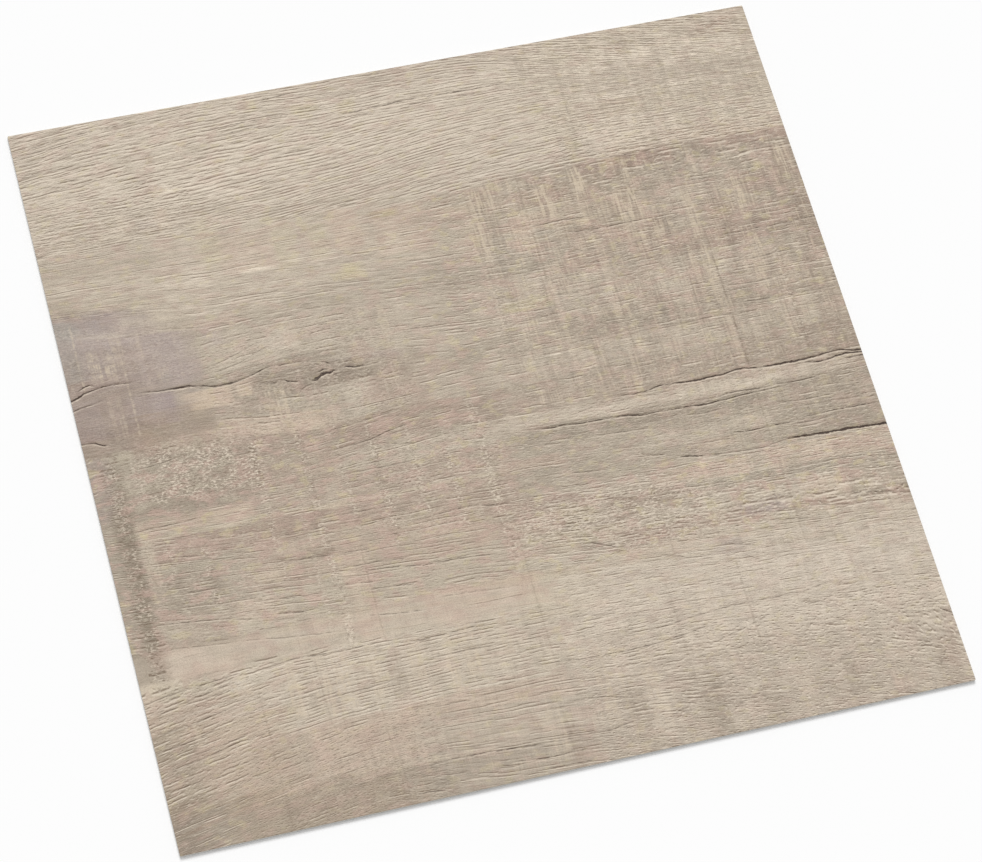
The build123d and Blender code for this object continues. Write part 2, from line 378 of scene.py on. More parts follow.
    (BRIGHT, 0.45, 181.5, 190, 282, 298, 1, 2), (DRAB, 0.65, 202, 210.5, 281, 320, 1, 3),
    (DRAB, 0.40, 224, 231, 288, 320, 1.2, 3), (PALE, 0.45, 276, 300, (274, 273), (293, 290), 3, 2),
    (BROWN, 0.40, 294, 302, (286, 284), 320, 1.2, 2), (ROSE, 0.50, 273, 281, 296, 320, 1.5, 1.5),
    # Broad light and shade over all of it
    (DEEP_MAUVE, 0.36, -9, 48, (96, 98), 143, 8, 3), (CHALK, 0.06, -9, 150, -9, 56, 30, 4),
    (CHALK, 0.19, 130, 320, -9, (52, 50), 60, 4), (CHALK, 0.22, 50, 110, (55, 57), (90, 88), 12, 5),
    (CHALK, 0.06, 110, 200, 58, 100, 12, 5), (CHALK, 0.10, 50, 320, 200, 260, 20, 6),
    (UMBER, 0.10, -9, 50, 146, 180, 10, 4), (DUSK, 0.62, 74, 116, (121, 122), 134, 6, 2),
    (DUSK, 0.40, 170, 262, (168, 170), (175, 178), 5, 1.2), (ROSE, 0.35, 217, 320, (58, 57), 64, 3, 1.5),
    (UMBER, 0.42, -9, 30, (92, 100), 146, 8, 4), (UMBER, 0.12, 20, 60, (130, 132), 152, 6, 3),
    (UMBER, 0.20, -9, 12, 78, 96, 4, 3), (MAUVE, 0.35, -9, 32, 90, 104, 5, 3),
    (CHALK, 0.13, -9, 62, 57, 77, 10, 4), (UMBER, 0.28, 62, 134, (121.5, 122), 134, 8, 2),
    (UMBER, 0.14, 206, 230, 166, 182, 5, 3), (UMBER, 0.13, 118, 154, 128, 150, 6, 4),
    (UMBER, 0.17, 56, 160, 150, 168, 8, 4), (UMBER, 0.09, 40, 190, 152, 194, 10, 6),
    (UMBER, 0.12, 196, 320, 60, 98, 8, 3), (UMBER, 0.11, 212, 254, 62, 84, 4, 3),
    (UMBER, 0.17, 8, 42, 164, 232, 6, 5), (SHADE, 0.40, -9, 100, 290, 320, 10, 3),
    (SHADE, 0.20, 96, 160, 290, 320, 10, 4), (CHALK, 0.84, 229, 306, 12, 33, 8, 4),
    (CHALK, 0.57, 228, 261, 43.5, 57.5, 5, 3), (CHALK, 0.24, 164, 320, 236, (276, 274), 10, 4),
    (CHALK, 0.12, 36, 62, 74, 90, 6, 3), (SHADE, 0.12, -9, 12, 178, 236, 2, 4),
    (CHALK, 0.24, 148, 228, 13, 36, 8, 5), (GREYED, 0.35, 132, 192, -9, 12, 10, 3),
    (SILVER, 0.22, -9, 320, 232, 320, 20, 8), (UMBER, 0.09, 150, 320, 60, 165, 6, 4),
    (UMBER, 0.15, 146, 222, 190, 220, 6, 4), (CHALK, 0.15, 56, 106, 102, 119, 6, 3),
    (CREAM, 0.40, 44, 60, (125, 125.5), (133, 133.5), 1, 1), (BLUSH, 0.40, 62, 69, 124.5, (131, 131.5), 1, 1),
    (CHALK, 0.15, 24, 140, 242, (269, 267), 8, 4), (SHADE, 0.26, -9, 20, (280, 284), 320, 8, 4),
    (SLATE, 0.26, -9, 18, (84, 86), 112, 5, 4), (MAUVE, 0.18, 8, 46, (86, 92), 118, 6, 4),
    (MAUVE, 0.25, -9, 40, 119, 133, 6, 3), (TAN, 0.18, 22, 50, 130, 143, 4, 3),
    (CHALK, 0.16, 54, 155, 21, 46, 10, 5), (UMBER, 0.27, 264, 320, 72, 124, 5, 4),
    (UMBER, 0.24, 206, 320, 87, 105, 6, 4), (UMBER, 0.14, 270, 320, 91, 106, 4, 3),
    (UMBER, 0.15, 148, 320, 148, 162, 8, 3), (UMBER, 0.07, 160, 215, 256, 320, 8, 6),
    (TAN, 0.16, -9, 50, 254, (296, 292), 8, 5), (TAN, 0.07, 44, 140, 266, 290, 8, 4),
    (TAN, 0.14, 20, 90, 288, 320, 8, 4), (TAN, 0.11, 160, 240, 64, 88, 6, 4),
    (CHALK, 0.13, -9, 100, 26, 56, 10, 4), (CHALK, 0.75, 47.5, 53, 46, 55, 0.8, 1),
    (CHALK, 0.45, 32, 37, 44, 55, 0.8, 1), (CHALK, 0.07, 40, 130, 195, 208, 8, 4),
    (CHALK, 0.10, 206, 226, 176, 190, 4, 4), (SHADE, 0.22, -9, 14, 258, 290, 5, 5),
    (UMBER, 0.10, 146, 180, 86, 104, 6, 4), (UMBER, 0.11, 130, 226, 58, 73, 8, 3),
    (UMBER, 0.17, 176, 300, 118, 135, 6, 4), (UMBER, 0.17, 196, 320, 150, (163, 162), 8, 3),
    (UMBER, 0.06, 205, 290, 286, 320, 10, 4), (UMBER, 0.08, 100, 132, 288, 320, 5, 4),
    (UMBER, 0.10, 118, 320, -9, 9, 10, 4), (UMBER, 0.20, 284, 320, -9, 12, 5, 4),
    (UMBER, 0.10, -9, 14, -9, 9, 6, 4), (CREAM, 0.12, 250, 320, 42, 58, 8, 3),
    (TAN, 0.06, 56, 150, 188, 234, 8, 5), (CHALK, 0.55, 73, 89, (77.0, 77.6), (78.3, 78.9), 1.5, 0.3),
    (UMBER, 0.14, 280, 320, 142, 232, 5, 4),
]

# Patches stand out from the tone around them by this much more; reach in mesh columns and rows
PATCH_CONTRAST = 0.55
CONTRAST_REACH = [(2, 0), (2, 0), (15, 1), (15, 1)]

# Depth, how much of each line is there, and run of the grain lines, with the patch they fill
LINE_ZONES = [
    (0.60, 0.60, 11, -9, 150, -9, 36, 8, 5), (0.70, 1.00, 14, -9, 100, 38, 56, 6, 2),
    (0.50, 0.95, 15, 92, 216, (36, 30), (57, 60), 8, 2), (0.45, 0.85, 12, 150, 216, 12, 40, 8, 4),
    (0.50, 0.90, 12, 205, 320, -9, 57, 6, 3), (0.12, 0.45, 16, -9, 150, (58, 60), 150, 8, 2),
    (0.02, 0.30, 10, -9, 53, (82, 88), 144, 2, 2), (0.14, 0.60, 8, 150, 320, (62, 60), 160, 8, 3),
    (0.07, 0.35, 12, 12, 170, 148, 224, 6, 4), (0.16, 0.50, 9, 150, 320, 162, 193, 6, 1),
    (0.08, 0.30, 12, 12, 160, (225, 227), 238, 6, 2), (0.35, 0.60, 11, -9, 160, 240, (268, 264), 6, 2),
    (0.22, 0.50, 10, 12, 110, 268, 320, 6, 4), (0.45, 0.60, 11, 105, 180, (266, 262), 320, 6, 4),
    (0.27, 0.65, 7, 180, 320, 194, 226, 6, 3), (0.25, 0.60, 5, 160, 320, 228, 320, 6, 4),
]

# Fine grain: strength of its dense emboss, shares of long and of short lines, strength of short flecks
TEXTURE_BASE = (0.30, 0.10, 0.30, 0.5)
TEXTURE_ZONES = [
    (0.40, 0.80, 0.70, 0.5, -9, 320, -9, (57, 59), 8, 2),
    (0.48, 0.50, 0.65, 0.6, -9, 62, -9, (38, 34), 26, 5),
    (0.42, 1.00, 0.85, 0.4, 60, 216, (26, 24), (57, 60), 16, 2),
    (0.60, 1.00, 0.90, 1.0, 205, 320, -9, 32, 14, 4), (0.52, 0.30, 1.00, 1.2, 210, 320, 30, (57, 58), 8, 2),
    (0.48, 0.60, 1.00, 1.0, -9, 66, 37, 56, 6, 1.5), (0.36, 0.26, 0.12, 0.4, -9, 152, (58, 60), 98, 6, 2),
    (0.18, 0.00, 0.03, 0.4, -9, 52, (84, 90), 143, 2, 2), (0.24, 0.10, 0.25, 0.7, 54, 130, 102, 152, 6, 3),
    (0.32, 0.12, 0.42, 0.8, 152, 320, 60, 130, 6, 2), (0.31, 0.08, 0.34, 0.6, 152, 320, 128, 160, 6, 2),
    (0.12, 0.00, 0.08, 0.8, 8, 62, 145, 173, 4, 2), (0.26, 0.15, 0.45, 0.8, 60, 155, 152, 190, 5, 4),
    (0.24, 0.46, 0.30, 0.6, 11, 158, 184, 226, 3, 3), (0.30, 0.10, 0.12, 0.8, 155, 320, 162, 193, 6, 1),
    (0.12, 0.10, 0.05, 0.15, -9, 160, 227, 239, 6, 2), (0.28, 0.00, 0.70, 0.9, -9, 48, 240, (290, 284), 6, 3),
    (0.30, 0.30, 0.85, 0.5, 45, 155, 240, (268, 264), 6, 2),
    (0.22, 0.00, 0.30, 1.0, 25, 105, (274, 268), 320, 6, 4),
    (0.25, 0.50, 0.35, 0.3, 105, 164, (267, 266), 320, 5, 3),
    (0.38, 0.10, 0.60, 0.9, 155, 320, 195, 227, 6, 2),
    (0.34, 0.10, 0.35, 0.8, 160, 320, 230, (258, 256), 6, 3),
    (0.36, 0.05, 0.18, 1.2, 160, 320, (260, 258), 320, 6, 3),
    (0.36, 0.10, 0.80, 0.8, 164, 212, (264, 266), (294, 288), 5, 3),
    (0.14, 0.00, 0.90, 1.1, 4, 12.5, 146, 240, 1, 3),
]

# How much the print is clouded with rose, green-grey and olive: strength, then the patch
CLOUD_ZONES = [
    (0.65, -9, 320, -9, (57, 59), 8, 2), (0.50, -9, 152, (58, 60), 98, 8, 3),
    (0.15, -9, 52, (84, 90), 143, 2, 2), (0.60, 54, 150, 100, 150, 6, 3), (0.80, 160, 320, 60, 130, 6, 2),
    (0.60, 152, 320, 131, 160, 8, 3), (0.50, 155, 320, 162, 193, 6, 2), (0.50, -9, 160, 226, 320, 8, 4),
    (0.35, 160, 320, 228, 320, 8, 4),
]

# Cross-grain saw marks, rough torn grain and pale combs: strength, then the patch
SAW_ZONES = [
    (1.0, 168, 320, 60, 160, 6, 3), (0.5, 205, 320, -9, 60, 6, 3), (0.6, 222, 320, 160, 240, 6, 3),
    (0.35, 54, 104, 128, 242, 4, 4), (0.2, -9, 42, 84, 145, 3, 4), (0.5, 50, 170, 240, 305, 6, 6),
    (0.25, 104, 170, 100, 240, 6, 6), (0.45, 170, 320, 240, 320, 6, 6),
]
ROUGH_ZONES = [
    (0.30, -9, 52, (86, 92), 119, 3, 2), (0.20, -9, 42, (120, 122), 142, 3, 2),
    (1.2, 16, 66, (145, 146), 170, 11, 6), (1.1, 150, 216, 200, 216, 8, 5), (0.9, 183, 232, 202, 226, 8, 4),
    (0.5, 100, 165, 160, 204, 8, 6), (0.4, 10, 60, 184, 224, 4, 6), (0.45, 56, 130, 104, 150, 6, 3),
    (0.4, 25, 60, 44, 56, 3, 2), (0.35, 165, 320, 104, 158, 6, 4), (0.22, 158, 320, 62, 104, 6, 3),
    (0.22, 155, 320, 160, 194, 6, 2), (0.3, 40, 95, (282, 280), 306, 6, 4),
]
COMB_ZONES = [
    (0.9, 172, 181, 61, 73, 1, 2), (0.7, 169, 175, 75, 92, 1, 3), (0.9, 197, 204, 66, 79, 1, 2),
    (1.0, 213, 218, 60, 75, 1, 2), (0.9, 226, 237, 74, 87, 1, 2), (0.6, 238, 245, 86, 98, 1, 3),
    (0.8, 276, 280, 74, 96, 1, 3), (0.6, 256, 259, 76, 119, 1, 4), (0.5, 191, 206, 98, 113, 1, 3),
    (0.7, 295, 303, 66, 82, 1, 3), (0.25, 73, 80, 129, 150, 1, 3), (0.35, 62, 68, 242, 268, 1, 4),
]

# Bars and thin lines straight across the grain: x, half width, start, end, strength (pale where negative)
BARS = [
    (51.2, 2.6, 45, 55, -0.60), (14.0, 1.8, 45, 57, -0.40), (34.8, 1.6, 44, 55, -0.45),
    (26.0, 0.8, 44, 56, -0.45), (251.8, 1.2, -3, 58, 0.20), (263.5, 1.4, 15, 58, 0.20),
    (277.0, 0.7, 25, 52, 0.18), (292.0, 1.5, 10, 58, 0.20), (221.0, 0.8, 10, 45, 0.28),
    (207.0, 1.8, 4, 17, 0.34), (218.0, 0.7, 30, 58, -0.36), (236.0, 0.8, 5, 57, -0.34),
    (257.0, 0.8, 5, 57, -0.30), (279.0, 1.0, 30, 60, -0.40), (240.0, 0.7, 38, 58, -0.30),
    (300.0, 0.6, 5, 55, 0.30), (6.0, 0.3, 88, 116, -0.50), (22.5, 0.35, 96, 138, -0.55),
    (21.5, 2.2, 96, 110, -0.34), (29.8, 1.7, 97, 108, -0.30), (36.5, 2.4, 113, 118, -0.30),
    (11.8, 2.2, 101, 113, -0.62), (17.5, 2.0, 103, 113, -0.56), (17.4, 1.0, 122, 139, -0.36),
    (14.0, 0.8, 122, 139, -0.26), (11.2, 1.2, 120, 140, 0.30), (44.0, 0.5, 99, 118, -0.20),
    (124.8, 1.6, 103, 119, -0.48), (73.5, 1.4, 129, 147, -0.50), (79.3, 0.8, 130, 152, -1.00),
    (76.6, 0.4, 130, 146, -0.55), (82.0, 0.3, 131, 138, -0.60), (93.8, 1.2, 138, 149, -0.50),
    (96.3, 0.7, 141, 150, -0.34), (63.2, 0.7, 124, 131, -0.40), (67.0, 0.7, 124, 131, -0.40),
    (87.5, 3.0, 103, 113, -0.36), (176.8, 2.2, 62, 73, 0.44), (172.5, 1.6, 63, 93, -0.46),
    (170.0, 0.8, 82, 93, 0.40), (202.0, 1.5, 66, 80, -0.70), (198.6, 0.8, 66, 79, -0.45),
    (215.3, 2.2, 60, 83, -0.62), (226.8, 1.7, 78, 88, 0.48), (231.2, 2.7, 74, 96, -0.46),
    (235.6, 1.4, 60, 97, -0.62), (247.0, 1.0, 84, 96, -0.52), (256.5, 2.0, 77, 101, -0.60),
    (278.0, 1.5, 76, 92, -0.80), (216.2, 1.6, 91, 112, -0.50), (256.4, 1.9, 106, 130, -0.62),
    (277.8, 2.2, 104, 120, -0.80), (275.8, 1.8, 118, 130, -0.70), (286.2, 2.2, 116, 128, -0.46),
    (257.2, 1.2, 131, 160, -0.36), (251.2, 1.0, 108, 128, -0.42), (264.0, 1.0, 100, 115, -0.42),
    (273.5, 1.5, 131, 155, 0.40), (192.0, 0.4, 60, 118, 0.63), (217.6, 0.45, 114, 158, 0.75),
    (259.4, 0.35, 98, 160, 1.05), (247.6, 0.3, 98, 158, 0.60), (285.0, 0.35, 129, 158, 0.75),
    (297.0, 0.5, 66, 84, 0.68), (204.6, 0.4, 66, 96, 0.51), (299.4, 1.2, 66, 80, -0.50),
    (184.0, 0.8, 56, 66, -0.45), (188.6, 1.0, 57, 65, -0.40), (180.5, 0.8, 98, 124, -0.30),
    (169.6, 0.5, 104, 128, -0.40), (209.0, 0.6, 118, 150, -0.30), (229.0, 0.5, 120, 150, -0.25),
    (240.5, 0.6, 128, 158, -0.30), (84.5, 0.3, 240, 300, 0.40), (42.0, 0.3, 250, 304, 0.55),
    (65.2, 0.5, 244, 268, 0.40), (92.5, 0.3, 200, 240, 0.51), (258.8, 0.35, 161, 236, 0.45),
    (247.2, 0.3, 161, 235, 0.34), (230.0, 0.4, 238, 272, 0.50), (208.0, 0.4, 185, 232, 0.45),
    (55.0, 2.0, 240, 263, -0.62), (73.7, 3.2, 240, 263, -0.60), (67.5, 1.2, 250, 266, -0.50),
    (85.9, 2.5, 242, 262, -0.52), (101.5, 2.5, 241, 258, -0.52), (114.3, 1.7, 240, 266, -0.54),
    (122.0, 3.0, 239, 262, -0.62), (136.5, 2.0, 239, 256, -0.48), (36.5, 3.4, 242, 250, -0.60),
    (60.2, 2.5, 244, 262, 0.36), (80.0, 2.0, 243, 258, 0.26), (93.5, 3.0, 246, 263, 0.38),
    (107.8, 2.0, 242, 262, 0.22), (129.5, 2.6, 242, 260, 0.20), (16.6, 0.9, 257, 266, -0.45),
    (14.4, 0.8, 262, 272, 0.45), (4.0, 1.0, 252, 262, 0.34), (24.0, 1.2, 262, 275, -0.26),
    (145.5, 3.0, 280, 298, -0.46), (150.8, 1.6, 284, 304, 0.40), (167.5, 2.4, 262, 293, -0.40),
    (184.7, 2.2, 264, 284, -0.44), (177.0, 3.5, 281, 306, 0.26), (185.7, 3.6, 285, 298, -0.36),
    (206.2, 4.0, 281, 306, 0.34), (227.5, 3.4, 288, 306, 0.30), (259.6, 3.0, 286, 300, 0.38),
    (215.0, 3.8, 240, 280, -0.26), (241.0, 2.4, 262, 300, -0.20), (280.5, 2.4, 284, 300, -0.22),
    (266.0, 1.5, 243, 285, -0.20), (201.5, 0.5, 240, 304, 0.24), (8.2, 2.5, 168, 236, 0.30),
    (271.0, 0.3, 180, 240, 0.38), (152.0, 0.3, 200, 262, 0.39), (174.0, 0.4, 258, 300, -0.30),
    (15.0, 2.4, 186, 200, -0.40),
]
BAR_ROOM = 9.0
BAR_GAP = 8.0
BAR_REACH = 3.4

# Columns of torn, speckled grain: x, half width, start, end, strength
TORN_COLUMNS = [
    (8.0, 2.6, 148, 241, 0.80), (80.6, 1.7, 150, 242, 1.0), (62.4, 1.5, 150, 208, 0.75),
    (74.6, 1.1, 152, 236, 0.65), (94.2, 1.1, 150, 196, 0.70), (107.6, 1.5, 152, 204, 0.80),
    (148.6, 1.8, 152, 226, 0.60), (121.5, 1.2, 154, 198, 0.45), (134.5, 1.2, 160, 202, 0.45),
    (35.5, 1.5, 190, 214, 0.50), (22.5, 1.2, 184, 198, 0.45), (285.0, 1.2, 112, 158, 0.60),
    (171.0, 1.6, 106, 124, 0.50), (226.5, 1.6, 112, 122, 0.40), (207.0, 1.4, 186, 214, 0.50),
    (247.5, 1.2, 196, 226, 0.50),
]

# Open cracks: depth, and points of x, y, half width and darkness
CRACKS = [
    (0.16, [(-3, 120.6, 0.45, 0.95), (2, 118.6, 0.4, 0.95), (5, 117.2, 0.3, 0.9), (8, 116.3, 0.25, 0.8),
        (12, 115.5, 0.2, 0.75), (17, 115.4, 0.2, 0.7), (21, 115.9, 0.15, 0.6), (24.5, 116.3, 0.1, 0.1)]),
    (0.12, [(3, 116.0, 0.15, 0.4), (5.5, 114.3, 0.26, 0.9), (8, 113.7, 0.26, 0.95), (10.5, 114.9, 0.2, 0.6)]),
    (0.10, [(-3, 124.4, 0.15, 0.45), (4, 122.6, 0.2, 0.55), (7, 122.3, 0.15, 0.5), (11, 121.4, 0.12, 0.3)]),
    (0.18, [(26, 121.0, 0.1, 0.1), (31, 121.7, 0.2, 0.75), (35, 121.9, 0.2, 0.7), (39, 122.0, 0.32, 0.95),
        (46, 122.1, 0.35, 0.95), (47.5, 122.8, 0.2, 0.7), (50.5, 123.2, 0.25, 0.8), (52, 124.1, 0.3, 0.9),
        (56, 124.4, 0.25, 0.85), (60, 124.3, 0.25, 0.9), (65, 123.7, 0.22, 0.75), (69, 122.8, 0.15, 0.55),
        (72, 121.8, 0.28, 0.85), (75, 121.0, 0.15, 0.5), (78, 120.3, 0.12, 0.4), (81, 120.6, 0.2, 0.65),
        (84, 120.8, 0.12, 0.4), (89, 120.9, 0.1, 0.1)]),
    (0.14, [(-3, 137.6, 0.2, 0.75), (3, 137.9, 0.22, 0.75), (5.6, 138.3, 0.3, 0.9), (7, 139.2, 0.2, 0.75),
        (8.6, 140.3, 0.28, 0.85), (10.4, 140.2, 0.15, 0.3)]),
    (0.08, [(74.5, 127.4, 0.15, 0.2), (77, 127.9, 0.25, 0.6), (79, 127.1, 0.15, 0.3)]),
    (0.10, [(80.9, 127.0, 0.2, 0.5), (82.4, 128.2, 0.35, 0.9), (84.2, 128.6, 0.25, 0.7),
        (87, 129.4, 0.15, 0.4), (89.5, 129.6, 0.1, 0.2)]),
    (0.20, [(90.4, 128.6, 0.35, 0.6), (91.6, 129.9, 0.4, 0.75), (93.2, 129.7, 0.75, 0.95),
        (94.8, 129.0, 0.65, 1.0), (95.7, 127.9, 0.85, 1.0), (97.2, 127.8, 0.6, 1.0),
        (99.2, 128.0, 0.5, 1.0), (100.6, 127.4, 0.25, 0.8), (102, 127.6, 0.12, 0.3),
        (103.4, 127.2, 0.15, 0.4), (105.4, 126.6, 0.25, 0.85), (107, 127.1, 0.3, 0.95),
        (109.5, 127.7, 0.28, 0.95), (111.6, 127.6, 0.25, 0.85), (114.5, 127.7, 0.12, 0.4),
        (119, 127.3, 0.15, 0.35), (127, 127.4, 0.1, 0.1)]),
    (0.10, [(95.2, 126.9, 0.2, 0.4), (96.2, 126.2, 0.4, 0.9), (97.2, 125.9, 0.3, 0.7),
        (98.2, 126.2, 0.15, 0.3)]),
    (0.06, [(99.4, 129.6, 0.1, 0.2), (100.8, 129.0, 0.2, 0.6), (102.2, 129.1, 0.15, 0.5),
        (103.6, 128.6, 0.1, 0.2)]),
    (0.06, [(85.4, 134.8, 0.12, 0.25), (86.4, 133, 0.15, 0.4), (88.2, 131.9, 0.2, 0.5),
        (90.6, 131.2, 0.15, 0.4)]),
    (0.08, [(91, 121.4, 0.1, 0.2), (95, 122.2, 0.12, 0.35), (98.4, 123.1, 0.15, 0.5),
        (99.6, 123.9, 0.35, 0.75), (100.4, 124.5, 0.1, 0.2)]),
    (0.18, [(203, 162.0, 0.1, 0.1), (208, 161.6, 0.18, 0.6), (213, 162.1, 0.2, 0.65),
        (219, 161.5, 0.2, 0.65), (221, 160.7, 0.25, 0.75), (223, 160.4, 0.3, 0.8), (226, 161, 0.18, 0.6),
        (228, 160.8, 0.25, 0.8), (232, 161.2, 0.28, 0.9), (238, 161.4, 0.32, 0.95), (245, 161.2, 0.3, 0.95),
        (250, 161, 0.28, 0.85), (251.5, 160.6, 0.28, 0.85), (258, 160.2, 0.3, 0.9), (261, 161.3, 0.28, 0.8),
        (264, 161.2, 0.22, 0.7), (268, 161.6, 0.32, 0.9), (272, 161.6, 0.4, 1.0), (278, 161.6, 0.36, 0.95),
        (283, 161.4, 0.3, 0.9), (290, 161, 0.25, 0.8), (296, 160.5, 0.28, 0.85), (300, 161.4, 0.35, 0.9),
        (303, 162.2, 0.3, 0.85), (308, 162.3, 0.3, 0.85)]),
    (0.14, [(281, 163.0, 0.1, 0.1), (284, 163.5, 0.28, 0.8), (288, 163.9, 0.25, 0.75),
        (291, 163.6, 0.3, 0.9), (295, 162.9, 0.3, 0.85), (299, 162.6, 0.35, 0.95), (303, 163.2, 0.3, 0.85),
        (308, 163.8, 0.3, 0.85)]),
    (0.10, [(297, 164.2, 0.12, 0.3), (300, 164.9, 0.35, 0.85), (303, 164.5, 0.3, 0.75),
        (308, 165.2, 0.25, 0.6)]),
    (0.14, [(165, 167.8, 0.1, 0.1), (171, 168.6, 0.12, 0.4), (173.5, 168.9, 0.2, 0.65),
        (176, 169.1, 0.22, 0.7), (180, 168.9, 0.18, 0.7), (186, 169.7, 0.2, 0.75), (190, 169.8, 0.25, 0.85),
        (196, 169.9, 0.22, 0.75), (199, 170, 0.16, 0.65), (204, 170.2, 0.2, 0.7), (206, 170.4, 0.32, 0.9),
        (209, 170.9, 0.32, 0.9), (212, 171.4, 0.25, 0.85), (214, 171.3, 0.16, 0.65),
        (222, 171.4, 0.16, 0.6), (229, 171.7, 0.2, 0.7), (231, 171.5, 0.2, 0.65), (236, 172.2, 0.28, 0.9),
        (240, 172.3, 0.22, 0.8), (243, 171.9, 0.18, 0.65), (247, 171.7, 0.22, 0.75),
        (252, 171.5, 0.2, 0.75), (258, 171.4, 0.2, 0.75), (264, 171.2, 0.15, 0.6), (272, 171.1, 0.1, 0.1)]),
    (0.10, [(233, 169.6, 0.1, 0.1), (237, 169.9, 0.15, 0.45), (243, 170.1, 0.15, 0.5),
        (250, 169.5, 0.2, 0.65), (255, 169.8, 0.18, 0.6), (262, 170, 0.2, 0.7), (268, 169.7, 0.12, 0.4),
        (272, 170.2, 0.15, 0.5), (276, 170.2, 0.15, 0.55), (281, 170, 0.2, 0.6), (285, 169.6, 0.12, 0.2)]),
    (0.16, [(216, 192.0, 0.1, 0.1), (220, 191.9, 0.15, 0.4), (224.5, 192, 0.25, 0.75),
        (227.5, 192.7, 0.25, 0.75), (231, 193.3, 0.2, 0.65), (235, 193.7, 0.15, 0.5),
        (241, 194.1, 0.15, 0.5), (248, 194.6, 0.15, 0.5), (254, 194.8, 0.12, 0.35), (260, 194.0, 0.12, 0.3),
        (264, 193.3, 0.2, 0.6), (268, 193.2, 0.35, 0.9), (275, 193.7, 0.4, 0.9), (282, 194, 0.4, 0.95),
        (290, 194.2, 0.45, 0.95), (296, 194.6, 0.45, 1.0), (308, 195.2, 0.45, 1.0)]),
    (0.10, [(117, 195.6, 0.1, 0.1), (124, 194.7, 0.15, 0.45), (131, 194.2, 0.2, 0.6),
        (140, 194.4, 0.2, 0.6), (146, 195.8, 0.15, 0.5), (157, 196.4, 0.1, 0.1)]),
    (0.12, [(92, 160.6, 0.1, 0.1), (100, 159.9, 0.13, 0.35), (107, 159, 0.15, 0.5),
        (109.5, 158.6, 0.18, 0.6), (112, 157.6, 0.17, 0.6), (114.5, 156.8, 0.18, 0.6),
        (118, 156.4, 0.14, 0.5), (124, 155.2, 0.15, 0.5), (127, 154.8, 0.1, 0.1)]),
]
CUT_REACH = 1.3
CUT_SPARE = 4.0
CUT_WIGGLE = 0.16
CUT_WIGGLE_RUN = 2.9
CUT_OPENS_AT = 0.3

